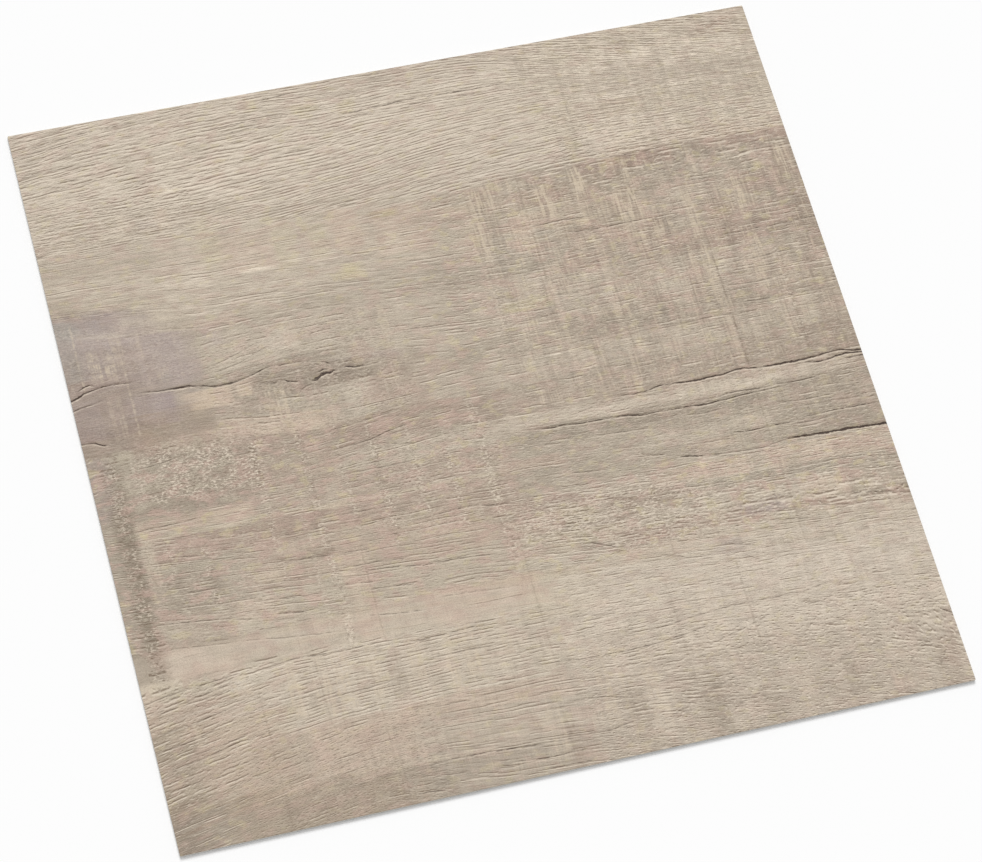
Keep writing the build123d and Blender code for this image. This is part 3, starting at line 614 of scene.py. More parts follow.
# Fine dark lines that can be told apart: half width, darkness, and points of x and y
MARKS = [
    (0.16, 0.42, [(0, 8), (12, 7), (25, 5), (38, 4.3), (52, 4)]),
    (0.16, 0.38, [(3, 10), (12, 9.3), (22, 8.4)]), (0.16, 0.34, [(2, 20), (12, 19), (22, 18.6)]),
    (0.16, 0.42, [(4, 26), (10, 26), (22, 24.7)]), (0.16, 0.34, [(9, 28.6), (22, 27.2), (34, 26.6)]),
    (0.18, 0.42, [(75, 13.4), (92, 12.6), (104, 12.6), (119, 12.8)]),
    (0.18, 0.42, [(80, 16.5), (95, 15.8), (100, 15.9)]),
    (0.20, 0.51, [(129, 16.9), (136, 17), (143, 16.4), (158, 15.9), (168, 15.8), (180, 16.2), (196, 16.3)]),
    (0.18, 0.38, [(136, 18.8), (150, 18.3), (165, 18), (188, 18.3)]),
    (0.22, 0.51, [(99, 4.4), (106, 3.9), (113, 3.4)]), (0.18, 0.42, [(43, 28.7), (53, 29)]),
    (0.18, 0.42, [(56, 28.4), (70, 28)]), (0.18, 0.42, [(45, 122.6), (52, 124.8), (58, 124.9), (66, 123.9)]),
    (0.18, 0.42, [(95, 99), (103, 99.5), (112, 100.2)]), (0.16, 0.30, [(118, 98), (140, 99.6), (160, 101.5)]),
    (0.18, 0.38, [(134, 116), (142, 116.8), (150, 118)]),
    (0.18, 0.34, [(53, 116.2), (64, 113.4), (75, 109.2)]),
    (0.18, 0.34, [(54, 119.3), (66, 116.6), (78, 111.8)]), (0.22, 0.30, [(40, 96), (52, 98.2), (64, 98.8)]),
    (0.18, 0.38, [(20, 152.5), (26, 151.8), (34, 150.6)]), (0.18, 0.42, [(92, 152), (104, 151), (120, 149)]),
    (0.16, 0.42, [(92, 160.2), (100, 159.8), (106, 159)]),
    (0.16, 0.38, [(96, 171), (108, 171.2), (121, 170.9)]),
    (0.18, 0.51, [(95, 193.4), (100, 192.8), (106, 192.6)]),
    (0.18, 0.38, [(106, 193.4), (112, 194), (118, 193.6)]),
    (0.18, 0.47, [(58, 190.2), (69, 190.9), (82, 190.6)]),
    (0.16, 0.42, [(22, 190.2), (30, 191.5), (40, 193)]), (0.16, 0.42, [(20, 205), (28, 205.8), (36, 206)]),
    (0.16, 0.42, [(46, 207.4), (60, 208.5), (76, 209.6)]),
    (0.16, 0.47, [(84, 208.5), (97, 208.8), (108, 209.6)]), (0.16, 0.38, [(34, 210.3), (41, 210.5)]),
    (0.16, 0.51, [(93, 211.4), (104, 212.4), (114, 214), (128, 214.2), (141, 215.4)]),
    (0.18, 0.51, [(12, 216), (22, 217), (34, 218.6)]), (0.18, 0.47, [(38, 219.2), (46, 221.2)]),
    (0.18, 0.51, [(57, 221), (63, 222.4), (70, 222.2)]), (0.16, 0.38, [(50, 214), (62, 216), (74, 216.6)]),
    (0.18, 0.51, [(80, 214.6), (88, 215.8), (94, 216.4)]),
    (0.16, 0.42, [(92, 219.2), (102, 220), (112, 221)]),
    (0.16, 0.38, [(16, 226.4), (24, 227.4), (36, 228.6)]),
    (0.16, 0.34, [(42, 229), (60, 231.5), (80, 233.4)]),
    (0.16, 0.38, [(90, 229.4), (100, 231), (110, 231.6)]),
    (0.16, 0.30, [(118, 228), (130, 228.6), (148, 230)]),
    (0.16, 0.38, [(60, 200.6), (70, 201.6), (84, 202.6), (96, 203)]),
    (0.16, 0.34, [(82, 187), (100, 187.4), (118, 188)]),
    (0.18, 0.38, [(11, 177.4), (24, 177.2), (36, 176.8)]),
    (0.18, 0.34, [(108, 160.5), (122, 164), (134, 163)]),
    (0.18, 0.40, [(0, 245.8), (10, 244), (28, 242), (41, 240.6)]),
    (0.18, 0.42, [(12, 248.2), (22, 246.6), (34, 244)]), (0.18, 0.34, [(0, 251), (14, 249), (30, 247)]),
    (0.18, 0.32, [(4, 258.4), (16, 257), (30, 253.6), (38, 252)]),
    (0.18, 0.36, [(0, 265.4), (12, 263.4), (24, 260.6)]),
    (0.18, 0.32, [(16, 268.4), (28, 266.4), (40, 263.6)]),
    (0.18, 0.32, [(2, 273.6), (16, 270.8), (30, 267.4), (48, 265.6)]),
    (0.18, 0.28, [(0, 281), (16, 278.6), (36, 274.4)]),
    (0.18, 0.47, [(48, 240.4), (60, 240), (74, 240.9), (90, 240.4)]),
    (0.18, 0.42, [(100, 243.6), (118, 242.6), (134, 242.2)]),
    (0.18, 0.42, [(108, 251), (122, 250.6), (134, 251.4)]),
    (0.18, 0.38, [(68, 257.8), (80, 257.6), (92, 256.2)]), (0.18, 0.38, [(104, 270), (118, 270.4)]),
    (0.20, 0.51, [(98, 291.4), (112, 291.2), (130, 292.4), (150, 293.4)]),
    (0.20, 0.51, [(98, 296.4), (108, 297.2)]), (0.20, 0.51, [(126, 297.4), (140, 298.6), (156, 298.4)]),
    (0.22, 0.51, [(88, 301.6), (94, 301.6), (100, 302.6)]), (0.22, 0.51, [(138, 302.6), (156, 303.4)]),
    (0.18, 0.42, [(188, 176), (200, 176.4), (208, 177), (214, 177.4)]),
    (0.18, 0.51, [(230, 175), (236, 175.9), (243, 175.3)]),
    (0.16, 0.42, [(203, 183.5), (212, 184.2), (221, 184.1)]),
    (0.18, 0.64, [(267, 177.8), (276, 178.5), (288, 178.4)]), (0.22, 0.59, [(299, 180.9), (306, 181.1)]),
    (0.18, 0.68, [(244, 185.8), (250, 186.8), (262, 186.6), (268, 186.8)]),
    (0.18, 0.64, [(275, 185.7), (285, 185.3), (300, 185.6), (306, 185.6)]),
    (0.18, 0.51, [(205, 188.2), (212, 188.6), (216, 189.4)]), (0.16, 0.51, [(233, 188), (243, 188.3)]),
    (0.18, 0.47, [(179, 189.4), (186, 190), (191, 190.5)]),
    (0.18, 0.42, [(268, 187.8), (276, 188), (284, 187.6)]),
    (0.16, 0.38, [(170, 194.8), (180, 195), (190, 194.6)]), (0.18, 0.34, [(185, 165.5), (200, 163.4)]),
    (0.18, 0.34, [(268, 180.5), (300, 182)]), (0.25, 0.64, [(296, 101.2), (300, 100.9), (306, 101.2)]),
    (0.18, 0.38, [(262, 102), (280, 101.4), (296, 102)]), (0.18, 0.34, [(190, 99.6), (206, 99)]),
    (0.18, 0.42, [(192, 82.4), (206, 82), (217, 82.6)]), (0.18, 0.38, [(205, 87.8), (222, 88.6), (238, 88)]),
    (0.18, 0.42, [(205, 96.6), (217, 97)]), (0.18, 0.38, [(192, 113.6), (200, 114.4), (216, 113.4)]),
    (0.18, 0.38, [(262, 114.2), (280, 114), (292, 113.4)]),
    (0.18, 0.42, [(262, 124), (274, 124.6), (286, 123.6)]),
    (0.18, 0.42, [(262, 132), (278, 133), (304, 133)]),
    (0.18, 0.34, [(170, 122.4), (186, 122), (200, 121.4)]),
    (0.18, 0.34, [(226, 136.8), (250, 136), (272, 137)]), (0.18, 0.38, [(226, 58), (236, 58.3), (242, 58)]),
    (0.22, 0.42, [(0, 56), (4, 55.8)]), (0.29, 0.38, [(176, 218), (183, 221), (190, 223.6)]),
    (0.25, 0.30, [(203, 229.4), (208, 231), (212, 232.6)]),
    (0.32, 0.30, [(225, 229.6), (232, 231.4), (240, 234)]),
    (0.29, 0.30, [(262, 221), (272, 223.4), (281, 225.4)]),
    (0.29, 0.34, [(279, 220.2), (290, 222), (304, 224.6)]),
    (0.25, 0.26, [(247, 224.6), (258, 226.6), (268, 228)]),
    (0.20, 0.38, [(150, 262.6), (164, 264), (180, 264.4), (192, 264), (204, 262.6), (214, 261)]),
    (0.20, 0.34, [(182, 258.8), (194, 258.2), (206, 256.8), (222, 255.6), (238, 255.9), (252, 256),
        (264, 253.8)]), (0.18, 0.30, [(246, 262), (258, 261), (272, 257.4)]),
    (0.18, 0.30, [(214, 268), (228, 264.6), (236, 262)]),
    (0.45, 0.16, [(184, 296.4), (190, 292.6), (200, 288.6), (209, 285.6), (218, 283)]),
    (0.45, 0.14, [(208, 303), (210, 297), (216, 293.6), (224, 291.6)]),
    (0.45, 0.14, [(234, 302), (236, 298), (241, 293)]),
    (0.45, 0.15, [(246, 290.6), (252, 287.6), (261, 284.2), (270, 280.8)]),
    (0.45, 0.14, [(261, 303), (262, 297), (266, 292), (274, 288)]),
    (0.70, 0.19, [(280, 298), (284, 291), (290, 287)]),
    (0.25, 0.51, [(299.6, 273), (303, 275.6), (306, 277.4)]),
    (0.60, 0.20, [(292, 303), (294, 296), (299, 289), (304, 284)]),
    (0.18, 0.34, [(150, 292.4), (164, 293.4), (180, 291)]),
    (0.18, 0.38, [(152, 279), (166, 280), (178, 283.4)]),
]
MARK_DEPTH = 0.16

# Single lines too fine for the mesh, the long ones and then the short: pitch, run, half width, ripple, seed
GRAIN_LINES = [
    (1.22, 34.0, 0.26, 0.28, 1),
    (1.40, 10.0, 0.28, 0.50, 2),
]

# Short flecks: their length and thickness, and how far their painted highlight copy is moved towards the near
# side
FLECK_SIZE = (2.0, 0.44)
FLECK_LIP = 0.36
# Strokes of the mesh: spacing, unevenness and depth; half widths, shape and scale of their runs, and the gaps
LINE_BASE = (0.30, 0.5, 10.0)
LINE_SPACING = 1.15
LINE_JITTER = 0.16
LINE_DEPTH = 0.11
LINE_WIDTHS = (0.26, 0.40)
LINE_RUN = (3.0, 3.2)
LINE_GAP = 1.0
LINE_SPARE = 20.0
DEEPEST_LINE = 1.5
# Strokes fade out as the mesh rows leave the grain, from one slip per column (mm) to the other
STROKE_SLIP = (0.50, 0.15)
# Rows that a stroke touches on either side, and the place and height of its raised near lip
STROKE_ROWS = 4
LIP_PLACE = 1.8
LIP_HEIGHT = 0.45
# How far the wear face lies below the full thickness, the share of it that no groove passes, and its waviness
FACE_DROP = 0.07
FLOOR_OF_GROOVES = 0.7
WAVINESS = 0.02

# How the edges of patches are frayed along and across the grain: amount, size along and across, seed
FRAY_ALONG = [(0.9, 1.7, 9.0, 21), (0.5, 0.9, 3.0, 24)]
FRAY_ACROSS = [(0.9, 22.0, 1.0, 22), (0.8, 50.0, 3.5, 23)]

# Distance that stands for no bar and no cut nearby
FAR_OFF = 9.0


def zone_fields(x, y, zones, base):
    """Fields of the zones' leading values; each zone is blended over the ones before it."""
    fields = [np.full_like(x, value) for value in base]
    for zone in zones:
        weight = region(x, y, *zone[len(base):])
        for field, value in zip(fields, zone):
            field += weight * (value - field)
    return fields


def moving_mean(values, reach, axis):
    """Mean over the mesh vertices within reach on either side, along one axis."""
    kernel = np.ones(2 * reach + 1) / (2 * reach + 1)
    return np.apply_along_axis(lambda line: np.convolve(np.pad(line, reach, mode="edge"), kernel, "valid"),
                               axis, values)


def print_tone(x, y, v):
    """Colour of the print before its lines, in sRGB."""
    fray_x = sum(amount * noise(x / along, y / across, seed) for amount, along, across, seed in FRAY_ALONG)
    fray_y = sum(amount * noise(x / along, v / across, seed) for amount, along, across, seed in FRAY_ACROSS)
    tone = np.ones(x.shape + (3,)) * np.array(SAND, float)
    for colour, strength, *patch in TINTS:
        soft_x, soft_y = patch[-2:]
        weight = strength * region(x + fray_x * (0.6 + soft_x / 2), y + fray_y * (0.3 + soft_y), *patch)
        tone += weight[..., None] * (np.array(colour, float) - tone)
    soft = tone
    for reach, axis in CONTRAST_REACH:
        soft = moving_mean(soft, reach, axis)
    return tone + PATCH_CONTRAST * (tone - soft)


class Face:
    """Fields over the wear face, one value for each vertex."""

    def __init__(self):
        self.x, self.y, self.v = lay_out_face()
        self.tone = print_tone(self.x, self.y, self.v)
        self.ink, self.lip, self.relief = (np.zeros_like(self.x) for _ in range(3))
        self.slip = np.abs(np.gradient(self.v, axis=0))
        self.bars = bar_fields(self.x, self.y, BARS)
        self.torn = bar_fields(self.x, self.y, TORN_COLUMNS)
        self.draw_grain()
        self.cuts = self.place_cuts()

    def stroke(self, column, y_at, width, strength):
        """Adds grooves with a raised near lip to one column, at several places at once; the lip is also kept
        as the strength of its painted highlight.
        """
        ys = self.y[column]
        first = np.searchsorted(ys, y_at) - STROKE_ROWS
        for k in range(2 * STROKE_ROWS + 1):
            row = first + k
            seen = (row >= 0) & (row < len(ys))
            off = ys[row[seen]] - y_at[seen]
            groove = np.exp(-((off / width[seen]) ** 2))
            lip = np.exp(-(((off - LIP_PLACE * width[seen]) / width[seen]) ** 2))
            np.add.at(self.ink[column], row[seen], strength[seen] * groove)
            np.add.at(self.lip[column], row[seen], strength[seen] * lip)
            relief = LINE_DEPTH * strength[seen] * (LIP_HEIGHT * lip - groove)
            np.add.at(self.relief[column], row[seen], relief)

    def draw_grain(self):
        """The many short lines of the grain, laid end to end on nearly even spacings."""
        rng = np.random.default_rng(41)
        centre, track, half = [], [], []
        for base in np.arange(-FLOW_SPARE + 5, WIDTH + FLOW_SPARE - 5, LINE_SPACING):
            at = rng.uniform(-LINE_SPARE, 0)
            while at < LENGTH + LINE_SPARE:
                run = rng.gamma(*LINE_RUN)
                centre.append(at + run / 2)
                track.append(base + rng.normal(0, LINE_JITTER))
                half.append(run / 2)
                at += run + rng.exponential(LINE_GAP)
        centre, track, half = map(np.array, (centre, track, half))
        columns = self.x[:, 0]
        nearest = np.clip(np.searchsorted(columns, centre), 0, len(columns) - 1)
        at_y = np.array([np.interp(t, self.v[i], self.y[i]) for t, i in zip(track, nearest)])
        depth, share, run = zone_fields(centre, at_y, LINE_ZONES, LINE_BASE)
        half = half * run / LINE_BASE[2]
        strength = np.minimum(depth * rng.gamma(3.0, 1 / 3.0, len(centre)), DEEPEST_LINE)
        kept = rng.uniform(size=len(centre)) < share
        width = rng.uniform(*LINE_WIDTHS, len(centre))
        for i, at_x in enumerate(columns):
            near = kept & (np.abs(at_x - centre) < half) & (track > self.v[i, 0]) & (track < self.v[i, -1])
            taper = 1 - (np.abs(at_x - centre[near]) / half[near]) ** 3
            wander = 0.45 * noise(np.full(near.sum(), at_x / 7), track[near] / 3, 42)
            y_at = np.interp(track[near] + wander, self.v[i], self.y[i])
            followed = ramp(*STROKE_SLIP, np.interp(track[near], self.v[i], self.slip[i]))
            self.stroke(i, y_at, width[near], strength[near] * taper * followed)

    def place_cuts(self):
        """Cracks and single marks, as signed distance, half width and darkness in sets of their own.

        Two cuts of one set never come close, so the distance stays true where it is used.
        """
        cuts = list(CRACKS)
        for half, dark, points in MARKS:
            ends = (0, len(points) - 1)
            cuts.append((MARK_DEPTH * dark, [(px, py, 0.5 * half if k in ends else half, dark)
                                             for k, (px, py) in enumerate(points)]))
        columns = self.x[:, 0]
        sets = []
        for number, (depth, points) in enumerate(cuts):
            px, py, half, dark = map(np.array, zip(*points))
            track = np.full(len(columns), 0.37 + 7.3 * number)
            y_at = np.interp(columns, px, py) + CUT_WIGGLE * noise(columns / CUT_WIGGLE_RUN, track, 44)
            y_at[(columns < px[0] - CUT_SPARE) | (columns > px[-1] + CUT_SPARE)] = np.nan
            inside = (columns >= px[0]) & (columns <= px[-1])
            dark = np.where(inside, np.interp(columns, px, dark), 0.0)
            cut = (y_at, np.interp(columns, px, half), dark, depth)
            for members in sets:
                gaps = [np.nanmin(np.abs(y_at - other[0]), initial=99.0) for other in members]
                if min(gaps) > 2 * CUT_REACH:
                    members.append(cut)
                    break
            else:
                sets.append([cut])
        return [self.cut_field(members) for members in sets]

    def cut_field(self, members):
        """One set of cuts as a field; it also adds their grooves to the relief."""
        field = np.zeros(self.x.shape + (3,))
        field[..., 0] = FAR_OFF
        for i in range(len(self.x)):
            here = [cut for cut in members if not np.isnan(cut[0][i])]
            if here:
                off = self.y[i][:, None] - np.array([cut[0][i] for cut in here])
                owner = np.argmin(np.abs(off), 1)
                off = off[np.arange(len(off)), owner]
                half, dark, depth = (np.array(value)[owner] for value in zip(
                    *[(cut[1][i], cut[2][i], cut[3]) for cut in here]))
                field[i, :, 0] = off
                field[i, :, 1] = half
                field[i, :, 2] = np.where(np.abs(off) < CUT_REACH, dark, 0.0)
                open_now = np.clip(dark / CUT_OPENS_AT, 0, 1)
                lip = np.exp(-(((off - half - 0.55) / 0.4) ** 2))
                self.relief[i] += depth * open_now * (0.3 * lip - np.exp(-((off / (half + 0.18)) ** 2)))
        return field

    def height(self):
        """Height of the wear face above the underside, in millimetres."""
        broad = WAVINESS * noise(self.x / 30, self.v / 5, 51)
        return np.clip(THICKNESS - FACE_DROP + broad + self.relief, THICKNESS * FLOOR_OF_GROOVES, THICKNESS)


def bar_fields(x, y, bars):
    """Distance across the nearest bar, its half width and its strength, in sets.

    Bars of one set keep apart, so the distance stays true over all the columns that a bar touches.
    """
    sets = []
    for bar in bars:
        for members in sets:
            if all(abs(bar[0] - other[0]) > bar[1] + other[1] + BAR_ROOM
                   or bar[3] + BAR_GAP < other[2] or other[3] + BAR_GAP < bar[2] for other in members):
                members.append(bar)
                break
        else:
            sets.append([bar])
    fields = []
    for members in sets:
        off, half, strength = np.full_like(x, FAR_OFF), np.zeros_like(x), np.zeros_like(x)
        for at, half_width, start, end, power in members:
            fade = ramp(start - 2.5, start + 1.5, y) * ramp(end + 2.5, end - 1.5, y)
            mine = (fade > 0) & (np.abs(x - at) < np.abs(off))
            off = np.where(mine, x - at, off)
            half = np.where(mine, half_width, half)
            seen = mine & (np.abs(x - at) < half_width + BAR_REACH)
            strength = np.where(mine, np.where(seen, power * fade, 0.0), strength)
        fields.append(np.stack([off, half, strength], -1))
    return fields


def rounded_outline(points, inset):
    """Moves points of the mesh border onto the tile's rounded outline, moved in by inset."""
    half = np.array([LENGTH, WIDTH]) / 2
    radius = CORNER_RADIUS - inset
    from_middle = points - half
    core = half - CORNER_RADIUS
    kept = np.clip(from_middle, -core, core)
    out = from_middle - kept
    length = np.linalg.norm(out, axis=1, keepdims=True)
    return half + kept + out / np.maximum(length, 1e-9) * radius


# Rings of the arris: how far in and how far down, in radii, and how much of the border's relief is left there
ARRIS_RINGS = [(0.293, 0.293, 0.7), (0.0, 1.0, 0.2)]
FACE_SLOT, EDGE_SLOT, UNDER_SLOT = 0, 1, 2


def build_tile(face):
    """The closed mesh: embossed wear face, rolled arris, cut edges and flat underside."""
    columns, rows = face.x.shape
    z = face.height().ravel()
    index = np.arange(columns * rows).reshape(columns, rows)
    border = np.concatenate([index[:-1, 0], index[-1, :-1], index[:0:-1, -1], index[0, :0:-1]])
    flat = np.stack([face.x.ravel(), face.y.ravel()], 1)
    flat[border] = rounded_outline(flat[border], ARRIS_RADIUS)
    vertices = [np.column_stack([flat, z])]
    drop = THICKNESS - z[border]
    for inset, below, share in ARRIS_RINGS:
        ring = rounded_outline(flat[border], ARRIS_RADIUS * inset)
        vertices.append(np.column_stack([ring, THICKNESS - ARRIS_RADIUS * below - share * drop]))
    ring = rounded_outline(flat[border], 0.0)
    vertices.append(np.column_stack([ring, np.zeros(len(ring))]))
    points = np.concatenate(vertices)

    corner = index[:-1, :-1].ravel()
    faces = [np.stack([corner, corner + 1, corner + rows + 1, corner + rows], 1)]
    loops = [border] + [columns * rows + k * len(border) + np.arange(len(border)) for k in range(3)]
    for inner, outer in zip(loops, loops[1:]):
        faces.append(np.stack([inner, np.roll(inner, -1), np.roll(outer, -1), outer], 1))
    slots = np.repeat([FACE_SLOT, FACE_SLOT, FACE_SLOT, EDGE_SLOT], [len(part) for part in faces])
    slots = np.append(slots, UNDER_SLOT).astype(np.int32)
    faces = np.concatenate(faces).tolist() + [loops[-1].tolist()]

    # The print's y runs towards the viewer, so it is the tile's -Y
    x, y, z = points.T
    world = np.column_stack([low[0] + x * MM, high[1] - y * MM, low[2] + z * MM])
    mesh = bpy.data.meshes.new("vinyl_tile_dressed")
    mesh.from_pydata(world.tolist(), [], faces)
    mesh.polygons.foreach_set("material_index", slots)
    mesh.polygons.foreach_set("use_smooth", slots == FACE_SLOT)
    mesh.update()
    mesh.set_sharp_from_angle(angle=math.radians(50))
    return mesh, points, border


def add_fields(mesh, face, border):
    """Stores the print's fields on the vertices; the edge carries on the field of the border beside it."""
    def store(name, field, kind="FLOAT_VECTOR", property_name="vector"):
        flat = field.reshape(face.x.size, -1)
        edge = flat[border]
        values = np.concatenate([flat, edge, edge, edge]).astype(np.float32)
        mesh.attributes.new(name, kind, "POINT").data.foreach_set(property_name, values.ravel())

    def blended(zones, *base):
        return zone_fields(face.x, face.y, zones, base)

    *texture, flecks = blended(TEXTURE_ZONES, *TEXTURE_BASE)
    opaque = np.ones(face.x.shape + (1,))
    store("tone", np.concatenate([ink(face.tone), opaque], -1), "FLOAT_COLOR", "color")
    store("grain", np.stack([face.x, face.v, *blended(CLOUD_ZONES, 1.0)], -1))
    store("lines", np.stack([face.ink, face.lip, flecks], -1))
    store("texture", np.stack(texture, -1))
    store("cross", np.stack([blended(zones, 0.0)[0] for zones in (SAW_ZONES, ROUGH_ZONES, COMB_ZONES)], -1))
    for name, fields in (("bars", face.bars), ("torn", face.torn), ("cuts", face.cuts)):
        for number, field in enumerate(fields):
            store("%s_%d" % (name, number), field)


# Bake map: margin, heights, and where the wear face, the four strips of the cut edge and the underside lie.
# Each ring of the arris is spread a little, so that its faces keep some width there.
MAP_MARGIN = 0.004
MAP_HEIGHT = 0.992
MAP_FACE_WIDTH = 0.732
MAP_STRIP_START = 0.742
MAP_STRIP_STEP = 0.0125
MAP_STRIP_WIDTH = 0.008
MAP_UNDER_START = 0.796
MAP_UNDER_WIDTH = 0.2
RING_SPREAD = 0.004


def add_bake_map(mesh, points, face_count, around):
    """A map that gives most of its room to the wear face and keeps the thin edges apart."""
    def read(items, name, kind, size=1):
        values = np.zeros(len(items) * size, kind)
        items.foreach_get(name, values)
        return values

    loops = read(mesh.loops, "vertex_index", np.int32)
    count = read(mesh.polygons, "loop_total", np.int32)
    slot = np.repeat(read(mesh.polygons, "material_index", np.int32), count)
    normals = np.repeat(read(mesh.polygons, "normal", float, 3).reshape(-1, 3), count, 0)
    p = points[loops]
    across, along, up = p[:, 0] / LENGTH, 1 - p[:, 1] / WIDTH, p[:, 2] / THICKNESS
    grow = 1 + RING_SPREAD * np.where(loops < face_count, 0, (loops - face_count) // around + 1)
    uv = np.column_stack([MAP_MARGIN + MAP_FACE_WIDTH * (0.5 + (across - 0.5) * grow),
                          MAP_MARGIN + MAP_HEIGHT * (0.5 + (along - 0.5) * grow)])
    under = slot == UNDER_SLOT
    uv[under] = np.column_stack([MAP_UNDER_START + MAP_UNDER_WIDTH * across,
                                 MAP_MARGIN + MAP_HEIGHT * along])[under]
    sideways = np.abs(normals[:, 0]) > np.abs(normals[:, 1])
    positive = np.where(sideways, normals[:, 0] > 0, normals[:, 1] > 0)
    strip = MAP_STRIP_START + MAP_STRIP_STEP * (2 * sideways + positive)
    run = np.where(sideways, along, across)
    edge = slot == EDGE_SLOT
    uv[edge] = np.column_stack([strip + MAP_STRIP_WIDTH * up, MAP_MARGIN + MAP_HEIGHT * run])[edge]
    mesh.uv_layers.new(name="OFBake").data.foreach_set("uv", uv.astype(np.float32).ravel())


class Nodes:
    """Adds and links shader nodes of one material, and builds up its colour and its fine height."""

    def __init__(self, name):
        self.material = bpy.data.materials.new(name)
        self.material.use_nodes = True
        self.tree = self.material.node_tree
        self.shader = self.tree.nodes["Principled BSDF"]
        self.shader.inputs["Specular IOR Level"].default_value = SPECULAR
        self.colour = None
        self.height = 0.0

    def new(self, kind, inputs=(), **settings):
        node = self.tree.nodes.new(kind)
        for key, value in settings.items():
            setattr(node, key, value)
        for key, value in dict(inputs).items():
            if isinstance(value, bpy.types.NodeSocket):
                self.tree.links.new(value, node.inputs[key])
            else:
                node.inputs[key].default_value = value
        return node

    def math(self, operation, a, b=0.0, c=0.0, clamp=False):
        node = self.new("ShaderNodeMath", {0: a, 1: b, 2: c}, operation=operation, use_clamp=clamp)
        return node.outputs[0]

    def sum(self, first, *others):
        for other in others:
            first = self.math("ADD", first, other)
        return first

    def times(self, first, *others):
        for other in others:
            first = self.math("MULTIPLY", first, other)
        return first

    def linear(self, value, slope, start):
        """value times slope, plus start."""
        return self.math("MULTIPLY_ADD", value, slope, start)

    def centred(self, value, amount):
        """A noise of mean 0.5 turned into a change about zero."""
        return self.times(self.math("SUBTRACT", value, 0.5), amount)

    def millimetres(self):
        """Place on the tile, in millimetres from the middle of its underside."""
        place = self.new("ShaderNodeTexCoord").outputs["Object"]
        scale = (1 / MM, 1 / MM, 1 / MM)
        return self.new("ShaderNodeVectorMath", {0: place, 1: scale}, operation="MULTIPLY").outputs[0]

    def field(self, name, output="Vector"):
        return self.new("ShaderNodeAttribute", attribute_name=name).outputs[output]

    def parts(self, vector):
        return self.new("ShaderNodeSeparateXYZ", {0: vector}).outputs

    def joined(self, x, y, z=0.0):
        return self.new("ShaderNodeCombineXYZ", {0: x, 1: y, 2: z}).outputs[0]

    def noise(self, vector, size, shift=(0.0, 0.0), detail=2.0, rough=0.5, distort=0.0):
        """Noise about 0.5, with features of the given size along and across; shift makes patterns differ."""
        step, start = (1.0 / size[0], 1.0 / size[1], 0.0), (*shift, 0.0)
        at = self.new("ShaderNodeVectorMath", {0: vector, 1: step, 2: start}, operation="MULTIPLY_ADD")
        inputs = {"Vector": at.outputs[0], "Scale": 1.0, "Detail": detail, "Roughness": rough,
                  "Distortion": distort}
        return self.new("ShaderNodeTexNoise", inputs, noise_dimensions="2D").outputs["Fac"]

    def band(self, value, start, end, first=0.0, last=1.0):
        """Smooth change from first at start to last at end."""
        inputs = {"Value": value, "From Min": start, "From Max": end, "To Min": first, "To Max": last}
        return self.new("ShaderNodeMapRange", inputs, interpolation_type="SMOOTHSTEP").outputs["Result"]

    def mix(self, factor, a, b, blend="MIX"):
        """Mixes two colours, each a socket or an ink; the factor is held within 0 and 1."""
        def colour(value):
            return value if isinstance(value, bpy.types.NodeSocket) else (*ink(value), 1.0)
        node = self.new("ShaderNodeMix", {0: factor, 6: colour(a), 7: colour(b)}, data_type="RGBA",
                        blend_type=blend)
        return node.outputs[2]

    def tint(self, colour, *cover):
        """Lays an ink over the colour so far, as strongly as the product of cover."""
        self.colour = self.mix(self.times(*cover), self.colour, colour)

    def shade(self, factor):
        """Multiplies the colour so far by a grey value."""
        grey = self.new("ShaderNodeCombineColor", {0: factor, 1: factor, 2: factor}).outputs[0]
        self.colour = self.mix(1.0, self.colour, grey, "MULTIPLY")

    def lift(self, amount, *factors):
        """Adds amount (mm) times the factors to the fine height."""
        self.height = self.linear(self.times(*factors), amount, self.height)

    def lines(self, u, v, share, pitch, run, half, ripple, seed):
        """Short parallel lines, laid in lanes one pitch apart, and painted highlight strips on their near
        side.

        Each lane is cut into stretches of length run, and each stretch holds one line or none: share
        sets how many are there. Lines differ in place, length and strength, and they wander by ripple.
        """
        lane = self.linear(v, 1.0 / pitch, seed * 7.31)
        number = self.math("FLOOR", lane)
        shift = self.new("ShaderNodeTexWhiteNoise", {"W": number}, noise_dimensions="1D").outputs["Value"]
        stretch = self.linear(u, 1.0 / run, self.times(shift, 19.0))
        cell = self.joined(number, self.math("FLOOR", stretch), float(seed))
        chance = self.new("ShaderNodeTexWhiteNoise", {"Vector": cell}, noise_dimensions="3D")
        there, length, place = self.parts(chance.outputs["Color"])
        along = self.math("ABSOLUTE", self.math("SUBTRACT", self.math("FRACT", stretch), 0.5))
        reach = self.linear(length, 0.28, 0.22)
        chosen = self.band(self.math("SUBTRACT", share, there), 0.0, 0.06)
        crowd = self.linear(self.times(share, share), 0.42, 0.34)
        weight = self.linear(self.times(length, length), 1.1, crowd)
        strength = self.times(self.band(along, reach, self.times(reach, 0.65)), chosen, weight)
        path = self.joined(u, self.times(number, 23.7))
        wander = self.centred(self.noise(path, (5.5, 5.0), (seed, 3), 2, 0.6), ripple)
        middle = self.linear(place, 0.24, 0.33)
        off = self.linear(self.math("SUBTRACT", self.math("FRACT", lane), middle), pitch, wander)
        line = self.times(self.band(self.math("ABSOLUTE", off), half, 0.0), strength)
        # Painted highlight strip on the near side of each line
        beside = self.math("ABSOLUTE", self.math("SUBTRACT", off, 1.6 * half))
        return line, self.times(self.band(beside, 1.1 * half, 0.0), strength)

